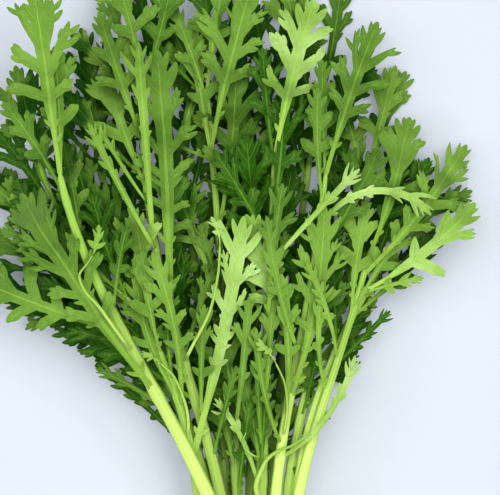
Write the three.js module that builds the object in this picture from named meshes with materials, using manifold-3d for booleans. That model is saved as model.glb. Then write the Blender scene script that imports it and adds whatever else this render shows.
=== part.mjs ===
// A bunch of garland chrysanthemum as picked, lying on a table. Millimetres, +Z up: the cut ends of
// the stems point to -Y and the leaf tips to +Y, and the bunch fans out to both sides of X.
// The origin is on the table, under the stems, where the bunch would be held.
// The stems are laid down one after the other. Each rests on the pile below it, and so does each leaf.
import * as THREE from "three";
import Module from "manifold-3d";

const wasm = await Module();
wasm.setup();

const radians = THREE.MathUtils.degToRad;

// The pile: how closely things lie, and the grid that its height is kept on
const AIR = 0.5; // left between a leaf or stem and what it lies on
const OFF_TABLE = 0.2; // left under the lowest leaves
const CELL = 1.25;
const GRID = { x: -190, y: -90, columns: 304, rows: 320 };
const TABLE = OFF_TABLE - AIR;
const TOUCH = 0.02; // pressed by less than this counts as clear
const ROUNDS = 6;
const PASSES = 60;
const RELAX = 0.85; // how much of its lift a piece keeps from one round to the next

// Colours from the shade under the pile to its top
const LOW_GREEN = "#64903a";
const TOP_GREEN = "#8fbe51";
const LEAF_ROUGH = 0.6;
const FIRST_SEED = 11;

// A leaf's blade: upright thickness at its edge, along its rib and where it leaves the stem
const EDGE_THICK = 0.9;
const RIB_THICK = 1.7;
const ROOT_THICK = 2.8;
const ROOT_REACH = 0.2; // share of the length over which the rib thins
const ROOT_EDGE = 0.8 * ROOT_THICK;

// A leaf's outline, as shares of its length
const STALK_HALF = 0.014;
const FIRST_LOBE = 0.34;
const LAST_LOBE = 0.8;
const WING_HALF = 0.034;
const LOBE_TIP = 0.027; // half the width of a lobe's blunt tip
const LOBE_LEAN = [radians(54), radians(30)]; // from the rib: the lowest lobes and the highest
const LOBE_LEAST = 0.06;
const LOBE_MORE = 0.155; // by which the longest lobes are longer
const HALF_WIDTH = 0.2;
const END_SHOULDER = [0.9, 0.1];
const END_NOTCH = [0.9, 0.045];
const END_CORNER = [0.985, 0.03];
const MIDDLING = 76; // leaves longer than this have three pairs of lobes, and shorter ones two
const LARGE = 96; // and longer than this four

// How leaves hang: the reach of their arch, as a share of their length, and how easily they give
const ARCH = 0.09;
const DROOP = [0.15, 0.32]; // of the tip, as a share of the length
const TILT = 3;
const FLAP_DROP = 6;
const FOLD = [0.02, 0.25]; // rise of the blade for each step away from the rib
const RUFFLE = [0.5, 1.8];
const RIB_GIVE = [0.05, 0.3, 0.3];
const RIB_LIFT = [1, 0, 0];
const JOINT_GIVE = 1;
const FLAP_GIVE = 1.2;
const FREE = 6; // a leaf lies inside its own stem up to here
const NEAR_STEM = 15; // and may touch its stem up to here
const FAR_EDGE = 2.1; // by which the wave of one edge runs ahead of the other's

// How leaves stand on a stem, where they grow by rule: degrees, and shares of the stem
const GOLDEN = 137.5; // round the stem from one leaf to the next
const TOP_LEAF = 0.99;
const CROWDED = 0.85; // below 1 the leaves stand closer towards the tip
const OUTWARD = [18, 34]; // turned out by at least this, and by up to this much more
const TOP_CLOSES = 0.65; // the top leaf turns out less by this share
const BEND = [6, 22];
const TOP_STIFF = 0.5; // the top leaf bends less by this share
const WIDTH = [0.75, 1.1];

// Small leaves between the large ones, and beside the tip of each stem. They are laid down, so that
// the pile keeps room for them, but have no solids.
const SMALL_SEED = 200;
const TIP_LEAVES = 2;
const FULL_TIP = 0.95; // a stem's own leaf above here takes the place of the small ones at the tip

// A stem: sides of its section, rings along it, and the share of its radius that it lies flat at
const SIDES = 7;
const RINGS = 8;
const SINK = 0.88;
const STEM_GIVE = [1, 1, 1, 1];
const STEM_LIFT = [1, 1, 1, 1];
const ROOM = 2.5; // kept beside a stem for the roots of its leaves
const LEAFLESS = 0.05; // share of the stem below its first leaf from where that room is kept

// The leafy stems from the table up. route: cut end, two guide points and tip, in plan. radius: at
// the cut end and the tip. first: where the lowest leaf grows. long: lowest and top leaf. spread: how
// far leaves turn out. small: how many small leaves grow along it. own: leaves on top, as [place on
// stem, heading, length, bend, width], with the heading clockwise from +Y and the width as a factor.
const STEMS = [
  { name: "stem_01", route: [[0, -60], [0, 20], [4, 95], [8, 202]], radius: [3.4, 1.4],
    leaves: 6, first: 0.26, long: [88, 68], spread: 0.75, small: 11,
    own: [[0.72, -8, 88, 4, 1.1], [0.55, -14, 92, 4, 1.1]] },
  { name: "stem_02", route: [[-9.5, -56], [-10, 15], [-22, 90], [-44, 198]], radius: [3.3, 1.4],
    leaves: 5, first: 0.38, long: [92, 66], spread: 0.8, small: 11,
    own: [[0.9, 14, 74, 2, 1.1]] },
  { name: "stem_03", route: [[9, -59], [11, 15], [18, 85], [34, 192]], radius: [3.3, 1.4],
    leaves: 6, first: 0.32, long: [84, 66], spread: 0.6, small: 11,
    own: [[0.25, 12, 58, -10, 1], [0.99, -14, 74, 4, 1]] },
  { name: "stem_04", route: [[-19, -58], [-20, 5], [-42, 70], [-80, 170]], radius: [3.2, 1.4],
    leaves: 6, first: 0.55, long: [84, 66], spread: 0.9, small: 11, own: [] },
  { name: "stem_05", route: [[16.5, -57], [15, 10], [32, 75], [60, 156]], radius: [3.2, 1.4],
    leaves: 5, first: 0.5, long: [74, 60], spread: 0.7, small: 10,
    own: [[0.99, -14, 62, 2, 1.1], [0.99, 12, 66, 4, 1.1]] },
  { name: "stem_06", route: [[-28, -54], [-20, 15], [-29, 60], [-96, 116]], radius: [3.2, 1.4],
    leaves: 6, first: 0.6, long: [76, 60], spread: 0.75, small: 9,
    own: [[0.5, -52, 52, -14, 0.45], [0.99, -36, 70, -8, 0.9]] },
  { name: "stem_07", route: [[24.5, -55], [19, 15], [31, 58], [72, 124]], radius: [3.2, 1.4],
    leaves: 5, first: 0.8, long: [58, 56], spread: 0.6, small: 3, own: [] },
  { name: "stem_08", route: [[-4.8, -60], [-5, 20], [-14, 100], [-22, 206]], radius: [3.3, 1.4],
    leaves: 6, first: 0.32, long: [86, 68], spread: 0.6, small: 6,
    own: [[0.28, -14, 62, 10, 0.9], [0.99, 6, 66, 6, 1], [0.9, 12, 84, 4, 1.1]] },
  { name: "stem_09", route: [[-14.3, -60], [-15, 15], [-44, 80], [-94, 136]], radius: [3.3, 1.4],
    leaves: 6, first: 0.56, long: [86, 64], spread: 0.8, small: 9,
    own: [[0.99, -20, 86, 4, 0.9]] },
  { name: "stem_10", route: [[4.8, -57], [5, 20], [10, 100], [12, 168]], radius: [3.3, 1.4],
    leaves: 5, first: 0.32, long: [82, 62], spread: 0.6, small: 4,
    own: [[0.99, 10, 86, 8, 1], [0.27, -6, 60, -8, 0.8]] },
  { name: "stem_11", route: [[21, -58], [17, 10], [42, 50], [60, 120]], radius: [3.6, 1.5],
    leaves: 2, first: 0.84, long: [60, 56], spread: 0.8, small: 1,
    own: [[0.99, 22, 76, -10, 1.1], [0.95, 44, 86, -10, 0.8], [0.9, 62, 76, -20, 1],
      [0.9, 70, 34, 10, 0.7]] },
  { name: "stem_12", route: [[-9, -57], [-9, 35], [-58, 92], [-53, 208]], radius: [3.4, 1.7],
    leaves: 4, first: 0.42, long: [84, 60], spread: 0.9, small: 2,
    own: [[0.9, -20, 72, 2, 0.9], [0.99, -10, 62, -10, 1.1], [0.6, 0, 132, -6, 0.62]] },
  { name: "stem_13", route: [[12, -60], [8, 25], [28, 66], [38, 162]], radius: [3.4, 1.4],
    leaves: 3, first: 0.6, long: [76, 60], spread: 0.7, small: 2,
    own: [[0.99, 15, 84, 8, 1], [0.85, 4, 78, 138, 0.35], [0.5, 20, 100, -20, 0.75],
      [0.35, 58, 66, -44, 0.3]] },
  { name: "stem_14", route: [[-22, -58], [-24, 15], [-34, 62], [-62, 100]], radius: [3.4, 1.4],
    leaves: 3, first: 0.6, long: [70, 60], spread: 0.8, small: 2,
    own: [[0.75, -14, 54, 8, 1], [0.4, 16, 124, -8, 0.42]] },
  { name: "stem_15", route: [[-4, -60], [-12, 15], [-80, 88], [-92, 160]], radius: [4.4, 1.8],
    leaves: 2, first: 0.64, long: [80, 64], spread: 1, small: 2,
    own: [[0.99, -8, 94, -2, 1.1], [0.5, -36, 120, 4, 0.8]] },
];

// Repeatable draws between 0 and 1 (Park and Miller's generator)
function draws(seed) {
  let state = seed * 7919 + 1;
  return () => {
    state = (state * 16807) % 2147483647;
    return state / 2147483647;
  };
}

// The height of everything laid down so far
const pile = new Float64Array(GRID.columns * GRID.rows).fill(TABLE);

function cellAt(x, y) {
  return Math.floor((y - GRID.y) / CELL) * GRID.columns + Math.floor((x - GRID.x) / CELL);
}

function heightNear(heights, x, y) {
  const middle = cellAt(x, y);
  let top = TABLE;
  for (const across of [middle - GRID.columns, middle, middle + GRID.columns])
    for (const cell of [across - 1, across, across + 1])
      if (heights[cell] > top) top = heights[cell];
  return top;
}

function raise(x, y, z) {
  const cell = cellAt(x, y);
  if (z > pile[cell]) pile[cell] = z;
}

// A sum of products, for a height that is a sum of shapes in some amounts
function sumOf(shapes, amounts) {
  return shapes.reduce((total, shape, k) => total + shape * amounts[k], 0);
}

// Lets a piece down onto what is below it. Its height is a sum of a few shapes, in the amounts to be
// found. From where it would hang freely it is lifted off its most pressed point, over and over.
function settle(samples, hang, give, lift) {
  let amounts = [...hang];
  for (let round = 0; round < ROUNDS; round++) {
    if (round) amounts = amounts.map((amount, k) => hang[k] + RELAX * (amount - hang[k]));
    for (let pass = 0; pass < PASSES; pass++) {
      let worst = TOUCH;
      let most = null;
      for (const p of samples) {
        const gap = p.need - sumOf(p.shapes, amounts);
        if (gap > worst) {
          worst = gap;
          most = p;
        }
      }
      if (!most) break;
      const pull = most.shapes.map((shape, k) => give[k] * shape);
      const size = sumOf(most.shapes, pull);
      amounts = amounts.map((amount, k) => amount + (worst * pull[k]) / size);
    }
  }
  const left = samples.map((p) => (p.need - sumOf(p.shapes, amounts)) / sumOf(p.shapes, lift));
  const more = left.reduce((most, gap) => Math.max(most, gap), 0);
  return amounts.map((amount, k) => amount + more * lift[k]);
}

// How far a lobe leans from the rib: the highest ones lie along it most
function leanOf(leaf, i) {
  return LOBE_LEAN[0] + ((LOBE_LEAN[1] - LOBE_LEAN[0]) * i) / (leaf.pairs - 1);
}

// The outline of a leaf from its root to its tip, and the triangles of its face. The rib runs down
// the middle, and each lobe is a blunt tooth leaning forward.
function leafNet(leaf) {
  const points = [];
  const faces = [];
  const add = (along, across, thick) => points.push({
    s: along * leaf.length, t: across * leaf.length, half: thick / 2,
  }) - 1;
  const ribThick = (along) => RIB_THICK
    + (ROOT_THICK - RIB_THICK) * Math.max(0, 1 - along / ROOT_REACH);
  const stations = [0];
  for (let i = 0; i <= leaf.pairs; i++)
    stations.push(FIRST_LOBE + ((LAST_LOBE - FIRST_LOBE) * i) / leaf.pairs);
  stations.push(END_NOTCH[0], 1);
  const rib = stations.map((along) => add(along, 0, along < 1 ? ribThick(along) : EDGE_THICK));
  const last = rib.length - 1;
  const rims = [];
  for (const side of [-1, 1]) {
    const face = (a, b, c) => faces.push(side > 0 ? [a, b, c] : [a, c, b]);
    let edge = add(0, side * STALK_HALF, ROOT_EDGE);
    const rim = [edge];
    for (let i = 0; i < last - 1; i++) {
      const next = i + 1 < last - 1
        ? add(stations[i + 1], side * (i ? WING_HALF : STALK_HALF), EDGE_THICK)
        : add(END_NOTCH[0], side * END_NOTCH[1], EDGE_THICK);
      face(rib[i], rib[i + 1], next);
      face(rib[i], next, edge);
      if (i > 0 && i <= leaf.pairs) {
        const reach = leaf.reach[side > 0 ? 1 : 0][i - 1];
        const middle = (stations[i] + stations[i + 1]) / 2;
        const lean = leanOf(leaf, i - 1);
        const tip = [middle + reach * Math.cos(lean), WING_HALF + reach * Math.sin(lean)];
        const back = [LOBE_TIP * Math.sin(lean), -LOBE_TIP * Math.cos(lean)];
        const low = add(tip[0] - back[0], side * (tip[1] - back[1]), EDGE_THICK);
        const high = add(tip[0] + back[0], side * (tip[1] + back[1]), EDGE_THICK);
        face(edge, next, high);
        face(edge, high, low);
        rim.push(low, high);
      } else if (i > leaf.pairs) {
        const shoulder = add(END_SHOULDER[0], side * END_SHOULDER[1], EDGE_THICK);
        face(edge, next, shoulder);
        rim.push(shoulder);
      }
      rim.push(next);
      edge = next;
    }
    const tip = add(END_CORNER[0], side * END_CORNER[1], EDGE_THICK);
    face(rib[last - 1], rib[last], tip);
    face(rib[last - 1], tip, edge);
    rim.push(tip);
    rims.push(rim);
  }
  // Up the right edge, over the tip, down the left edge and across the root
  const rim = [rib[0], ...rims[1], rib[last], ...rims[0].reverse()];
  return { points, faces, rim };
}

// Where a point of a leaf lies in plan: its rib is an arc
function leafPlan(leaf, s, t) {
  const turned = leaf.heading + leaf.bend * s;
  return [
    leaf.x - (Math.cos(turned) - Math.cos(leaf.heading)) / leaf.bend + t * Math.cos(turned),
    leaf.y + (Math.sin(turned) - Math.sin(leaf.heading)) / leaf.bend - t * Math.sin(turned),
  ];
}

// Where the rib gives, as shares of the length
function jointsOf(pairs) {
  const step = (LAST_LOBE - FIRST_LOBE) / pairs;
  return [...Array.from({ length: pairs + 1 }, (_, k) => FIRST_LOBE + step * k), 1];
}

// The part of a leaf's height that is its own: folded along the rib, waved towards the edge
function leafForm(leaf, s, t) {
  const out = Math.abs(t) / (leaf.length * HALF_WIDTH);
  const wave = Math.sin((leaf.waves * s) / leaf.length + leaf.phase + (t > 0 ? 0 : FAR_EDGE));
  return leaf.fold * Math.abs(t) + leaf.ruffle * out * out * wave;
}

// The ways a leaf gives to what it lies on: it arches, rolls and twists
function leafShapes(leaf, s, t) {
  const along = s / leaf.length;
  const out = t / (leaf.length * HALF_WIDTH);
  const arch = 1 - Math.exp(-along / ARCH);
  const shapes = [arch, arch * out, arch * out * (2 * along - 1)];
  // The rib rises at each of its joints, which are the feet of the lobes and the tip
  const step = (LAST_LOBE - FIRST_LOBE) / leaf.pairs;
  const joints = jointsOf(leaf.pairs);
  joints.forEach((joint, k) => {
    const before = k ? joints[k - 1] : 0;
    let off = (along - before) / (joint - before) - 1;
    if (along >= joint) off = k + 1 < joints.length ? (along - joint) / (joints[k + 1] - joint) : 0;
    shapes.push(0.5 * (1 + Math.cos(Math.PI * THREE.MathUtils.clamp(off, -1, 1))));
  });
  // Each lobe bends by itself, most at its end
  for (const side of [-1, 1])
    for (let i = 0; i < leaf.pairs; i++) {
      const foot = (s - Math.abs(t) / Math.tan(leanOf(leaf, i))) / leaf.length;
      const off = (foot - FIRST_LOBE - step * (i + 0.5)) / step;
      const near = side * t > 0 && Math.abs(off) < 1;
      shapes.push(near ? out * out * 0.5 * (1 + Math.cos(Math.PI * off)) : 0);
    }
  return shapes;
}

// Points spread over a net's faces, closer than a cell
function spread(net, values) {
  const samples = [];
  for (const face of net.faces) {
    const [p, q, r] = face.map((corner) => values[corner]);
    const edges = [[p, q], [q, r], [r, p]].map(([a, b]) => Math.hypot(a.x - b.x, a.y - b.y));
    const steps = Math.ceil(Math.max(...edges) / CELL);
    for (let i = 0; i <= steps; i++)
      for (let j = 0; j <= steps - i; j++) {
        const [v, w] = [i / steps, j / steps];
        const u = 1 - v - w;
        const mix = (key) => p[key] * u + q[key] * v + r[key] * w;
        samples.push({
          x: mix("x"), y: mix("y"), s: mix("s"), own: mix("own"), half: mix("half"),
          shapes: p.shapes.map((shape, k) => shape * u + q.shapes[k] * v + r.shapes[k] * w),
        });
      }
  }
  return samples.filter((p) => p.s > FREE);
}

// Lays a leaf on the pile and returns its net with the height of each point
function layLeaf(leaf, below) {
  const net = leafNet(leaf);
  const values = net.points.map(({ s, t, half }) => {
    const [x, y] = leafPlan(leaf, s, t);
    return { x, y, s, half, own: leaf.z + leafForm(leaf, s, t), shapes: leafShapes(leaf, s, t) };
  });
  const samples = spread(net, values);
  for (const p of samples)
    p.need = heightNear(p.s > NEAR_STEM ? pile : below, p.x, p.y) + AIR + p.half - p.own;
  const joints = jointsOf(leaf.pairs);
  const give = [...RIB_GIVE, ...joints.map(() => JOINT_GIVE), ...leaf.flaps.map(() => FLAP_GIVE)];
  const lift = [...RIB_LIFT, ...joints.map(() => 0), ...leaf.flaps.map(() => 0)];
  leaf.laid = settle(samples, [...leaf.hang, ...leaf.flaps], give, lift);
  const height = (p) => p.own + sumOf(p.shapes, leaf.laid);
  for (const p of samples) raise(p.x, p.y, height(p) + p.half);
  for (const p of values) p.z = height(p);
  return { net, values };
}

// The solid of a leaf that has been laid: its net twice, apart by its thickness, and its rim
function leafSolid({ net, values }) {
  const corners = [];
  for (const up of [1, -1])
    for (const p of values) corners.push(p.x, p.y, p.z + up * p.half);
  const n = values.length;
  const triangles = [];
  for (const [a, b, c] of net.faces) triangles.push(a, c, b, n + a, n + b, n + c);
  net.rim.forEach((a, i) => {
    const b = net.rim[(i + 1) % net.rim.length];
    triangles.push(a, n + b, b, a, n + a, n + b);
  });
  return solid(corners, triangles);
}

function solid(corners, triangles) {
  return new wasm.Manifold(new wasm.Mesh({
    numProp: 3, vertProperties: new Float32Array(corners), triVerts: new Uint32Array(triangles),
  }));
}

// A stem's section at a share of its length: where it is, which way it runs and how thick it is
function stemAt(stem, u) {
  const [cut, low, high, tip] = stem.route.map(([x, y]) => new THREE.Vector2(x, y));
  const curve = new THREE.CubicBezierCurve(cut, low, high, tip);
  const { x, y } = curve.getPoint(u);
  const runs = curve.getTangent(u);
  const v = 1 - u;
  return {
    x, y, runs, radius: stem.radius[0] + (stem.radius[1] - stem.radius[0]) * u,
    shapes: [v * v * v, 3 * u * v * v, 3 * u * u * v, u * u * u],
  };
}

function stemHeight(stem, p) {
  return sumOf(p.shapes, stem.laid) + SINK * p.radius;
}

// Lays a stem on the pile, with room for the roots of its leaves, and returns the pile below it
function layStem(stem) {
  const steps = 100;
  const samples = [];
  const upper = [];
  for (let i = 0; i <= steps; i++) {
    const p = stemAt(stem, i / steps);
    const reach = p.radius + (i / steps > stem.first - LEAFLESS ? ROOM : 0);
    const points = Math.ceil(reach * 2);
    for (let j = -points; j <= points; j++) {
      const across = (reach * j) / points;
      const deep = Math.sqrt(Math.max(0, p.radius ** 2 - across ** 2));
      const [x, y] = [p.x + across * p.runs.y, p.y - across * p.runs.x];
      const top = heightNear(pile, x, y);
      const need = top > TABLE ? top + AIR + deep - SINK * p.radius : 0;
      samples.push({ shapes: p.shapes, need });
      if (Math.abs(across) <= p.radius) upper.push({ x, y, deep, p });
    }
  }
  stem.laid = settle(samples, [0, 0, 0, 0], STEM_GIVE, STEM_LIFT);
  const below = pile.slice();
  for (const { x, y, deep, p } of upper) raise(x, y, stemHeight(stem, p) + deep);
  return below;
}

// The solid of a stem: rings along its curve, flattened where it meets the table
function stemSolid(stem) {
  const corners = [];
  const triangles = [];
  for (let k = 0; k <= RINGS; k++) {
    const p = stemAt(stem, k / RINGS);
    const middle = stemHeight(stem, p);
    for (let i = 0; i < SIDES; i++) {
      const turn = ((i + 0.5) / SIDES) * 2 * Math.PI - Math.PI / 2;
      const across = p.radius * Math.cos(turn);
      const z = Math.max(0, middle + p.radius * Math.sin(turn));
      corners.push(p.x + across * p.runs.y, p.y - across * p.runs.x, z);
    }
  }
  for (let k = 0; k < RINGS; k++)
    for (let i = 0; i < SIDES; i++) {
      const [a, b] = [k * SIDES + i, k * SIDES + ((i + 1) % SIDES)];
      const [c, d] = [a + SIDES, b + SIDES];
      triangles.push(a, d, b, a, c, d);
    }
  for (let i = 1; i < SIDES - 1; i++) {
    triangles.push(0, i, i + 1);
    triangles.push(RINGS * SIDES, RINGS * SIDES + i + 1, RINGS * SIDES + i);
  }
  return solid(corners, triangles);
}

// The leaves of a stem, in the order they are laid. By rule they grow to each side in turn, longer
// below and shorter above. The upper ones are laid first, and the stem's own ones last.
function leavesOf(stem, seed) {
  const draw = draws(seed);
  const leaves = [];
  for (let j = stem.leaves - 1; j >= 0; j--) {
    const height = j / (stem.leaves - 1);
    const u = stem.first + (TOP_LEAF - stem.first) * Math.pow(height, CROWDED);
    const { runs } = stemAt(stem, u);
    const side = j % 2 ? 1 : -1;
    const turn = radians(GOLDEN * j + 60 * seed);
    const opened = OUTWARD[0] + OUTWARD[1] * Math.abs(Math.sin(turn));
    const outward = stem.spread * opened * (1 - TOP_CLOSES * height);
    const heading = THREE.MathUtils.radToDeg(Math.atan2(runs.x, runs.y)) + side * outward;
    const length = (stem.long[0] + (stem.long[1] - stem.long[0]) * height) * (0.9 + 0.2 * draw());
    const bend = -side * (BEND[0] + BEND[1] * draw()) * (1 - TOP_STIFF * height);
    leaves.push([u, heading, length, bend, WIDTH[0] + (WIDTH[1] - WIDTH[0]) * draw()]);
  }
  const large = [...leaves, ...stem.own].map((values) => leafOf(stem, values, draw));
  return [...large.slice(0, stem.leaves), ...smallLeavesOf(stem, seed), ...large.slice(stem.leaves)];
}

// The small leaves of a stem: some along it, to each side in turn, and some at its tip
function smallLeavesOf(stem, seed) {
  const draw = draws(seed + SMALL_SEED);
  const headingAt = (u) => {
    const { runs } = stemAt(stem, u);
    return THREE.MathUtils.radToDeg(Math.atan2(runs.x, runs.y));
  };
  const leaves = [];
  const lowest = Math.max(stem.first - 0.22, 0.22);
  for (let j = 0; j < stem.small; j++) {
    const share = (j + draw()) / stem.small;
    const u = lowest + (0.97 - lowest) * share;
    const side = j % 2 ? -1 : 1;
    const heading = headingAt(u) + side * (5 + 27 * draw());
    const length = 40 + 20 * draw();
    leaves.push([u, heading, length, side * (30 * draw() - 10), 0.45 + 0.45 * share]);
  }
  const bareTip = !stem.own.some(([place]) => place > FULL_TIP);
  for (let k = 0; bareTip && k < TIP_LEAVES; k++) {
    const heading = headingAt(1) + 28 * (k - 0.5 + 0.4 * (draw() - 0.5));
    leaves.push([0.985, heading, 44 + 17 * draw(), 20 * (draw() - 0.5), 0.9]);
  }
  return leaves.map((values) => ({ ...leafOf(stem, values, draw), small: true }));
}

// A leaf where it grows, with all that varies from one to the next
function leafOf(stem, [place, heading, length, bend, width], draw) {
  const root = stemAt(stem, place);
  let pairs = 2;
  if (length > MIDDLING) pairs = 3;
  if (length > LARGE) pairs = 4;
  const varied = (least, most) => least + (most - least) * draw();
  const lobe = (i) => {
    const swell = Math.sin(Math.PI * (0.05 + (0.62 * (i + 0.6)) / pairs));
    return width * (LOBE_LEAST + LOBE_MORE * swell) * varied(0.7, 1.2);
  };
  const droop = -varied(...DROOP) * length;
  const rib = [varied(0, 2), varied(-TILT, TILT), varied(-TILT, TILT)];
  return {
    x: root.x, y: root.y, z: stemHeight(stem, root), length, pairs,
    heading: radians(heading), bend: radians(bend) / length,
    hang: [...rib, ...jointsOf(pairs).map((joint) => droop * joint)],
    flaps: Array.from({ length: 2 * pairs }, () => varied(0, -FLAP_DROP)),
    fold: varied(...FOLD), ruffle: varied(...RUFFLE), waves: varied(12, 20),
    phase: varied(0, 2 * Math.PI),
    reach: [1, 2].map(() => Array.from({ length: pairs }, (_, i) => lobe(i))),
  };
}

function meshOf(name, whole, green) {
  const { numProp, vertProperties, triVerts } = whole.getMesh();
  const geometry = new THREE.BufferGeometry();
  geometry.setAttribute("position", new THREE.BufferAttribute(vertProperties, numProp));
  geometry.setIndex(new THREE.BufferAttribute(triVerts, 1));
  const mesh = new THREE.Mesh(
    geometry, new THREE.MeshStandardMaterial({ color: green, roughness: LEAF_ROUGH, metalness: 0 }),
  );
  mesh.name = name;
  return mesh;
}

const bunch = new THREE.Group();

STEMS.forEach((stem, i) => {
  const below = layStem(stem);
  const leaves = leavesOf(stem, FIRST_SEED + i);
  const laid = leaves.map((leaf) => layLeaf(leaf, below));
  const large = laid.filter((_, k) => !leaves[k].small);
  const whole = wasm.Manifold.union([stemSolid(stem), ...large.map(leafSolid)]);
  const green = new THREE.Color(LOW_GREEN).lerp(new THREE.Color(TOP_GREEN), i / (STEMS.length - 1));
  bunch.add(meshOf(stem.name, whole, green));
});

export default bunch;
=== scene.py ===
"""A bunch of garland chrysanthemum lying on a table, seen from above. Lengths are in millimetres until
a mesh is made. The leafy stems lie where the frame's solids lie: the same rule lays them down here."""
import math

import bpy
import numpy as np
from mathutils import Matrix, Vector
from mathutils.geometry import delaunay_2d_cdt


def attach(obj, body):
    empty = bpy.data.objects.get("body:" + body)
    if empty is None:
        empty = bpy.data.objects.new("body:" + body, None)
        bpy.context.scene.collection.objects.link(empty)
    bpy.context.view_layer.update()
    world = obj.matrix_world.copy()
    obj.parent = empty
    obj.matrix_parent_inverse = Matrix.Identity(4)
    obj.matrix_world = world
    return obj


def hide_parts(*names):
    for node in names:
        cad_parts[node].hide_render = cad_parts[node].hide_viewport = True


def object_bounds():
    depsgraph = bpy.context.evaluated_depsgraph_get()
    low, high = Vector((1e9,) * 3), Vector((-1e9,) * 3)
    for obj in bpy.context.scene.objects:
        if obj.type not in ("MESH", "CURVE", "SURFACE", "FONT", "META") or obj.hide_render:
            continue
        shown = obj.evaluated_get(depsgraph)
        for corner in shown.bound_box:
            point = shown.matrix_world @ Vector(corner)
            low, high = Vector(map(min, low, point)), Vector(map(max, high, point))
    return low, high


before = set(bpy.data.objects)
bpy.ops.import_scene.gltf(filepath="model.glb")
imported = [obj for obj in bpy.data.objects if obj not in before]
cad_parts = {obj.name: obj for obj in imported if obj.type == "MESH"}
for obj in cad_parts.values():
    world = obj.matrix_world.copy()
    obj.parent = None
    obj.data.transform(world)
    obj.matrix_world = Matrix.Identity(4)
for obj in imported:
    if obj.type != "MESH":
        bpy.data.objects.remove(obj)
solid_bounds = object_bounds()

MM = 0.001

# The pile: how closely things lie, and the grid that its height is kept on
AIR = 0.5
OFF_TABLE = 0.2
CELL = 1.25
GRID_X, GRID_Y = -190, -90
COLUMNS, ROWS = 304, 320
TABLE = OFF_TABLE - AIR
TOUCH = 0.02
ROUNDS = 6
PASSES = 60
RELAX = 0.85

# The plain blade that was laid down: thickness, and outline as shares of the length
EDGE_THICK = 0.9
RIB_THICK = 1.7
ROOT_THICK = 2.8
ROOT_REACH = 0.2
ROOT_EDGE = 0.8 * ROOT_THICK
STALK_HALF = 0.014
FIRST_LOBE = 0.34
LAST_LOBE = 0.8
WING_HALF = 0.034
LOBE_TIP = 0.027
LOBE_LEAN = (math.radians(54), math.radians(30))  # the lowest lobe's and the highest one's
LOBE_LEAST = 0.06
LOBE_MORE = 0.155
HALF_WIDTH = 0.2
END_SHOULDER = (0.9, 0.1)
END_NOTCH = (0.9, 0.045)
END_CORNER = (0.985, 0.03)
MIDDLING = 76
LARGE = 96

# How leaves hang and give
ARCH = 0.09
DROOP = (0.15, 0.32)
TILT = 3
FOLD = (0.02, 0.25)
RUFFLE = (0.5, 1.8)
FLAP_DROP = 6
RIB_GIVE = [0.05, 0.3, 0.3]
RIB_LIFT = [1, 0, 0]
JOINT_GIVE = 1
FLAP_GIVE = 1.2
FREE = 6
NEAR_STEM = 15
FAR_EDGE = 2.1

# How leaves stand on a stem, where they grow by rule
GOLDEN = 137.5
TOP_LEAF = 0.99
CROWDED = 0.85
OUTWARD = (18, 34)
TOP_CLOSES = 0.65
BEND = (6, 22)
TOP_STIFF = 0.5
WIDTH = (0.75, 1.1)
FIRST_SEED = 11
SMALL_SEED = 200
TIP_LEAVES = 2
TIPPED = 0.95  # a stem with a placed leaf beyond this has no small leaves at its tip
LONG_VARIES = (0.9, 0.2)  # least and how much more, as in the pairs below
SMALL_BELOW = 0.22
SMALL_LAST = 0.97
SMALL_TURN = (5, 27)
SMALL_LONG = (40, 20)
SMALL_WIDE = (0.45, 0.45)
TIP_PLACE = 0.985
TIP_LONG = (44, 17)
TIP_WIDE = 0.9
TIP_APART = 28

# Stems
SINK = 0.88
STEM_GIVE = [1, 1, 1, 1]
STEM_LIFT = [1, 1, 1, 1]
ROOM = 2.5
LEAFLESS = 0.05

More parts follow.
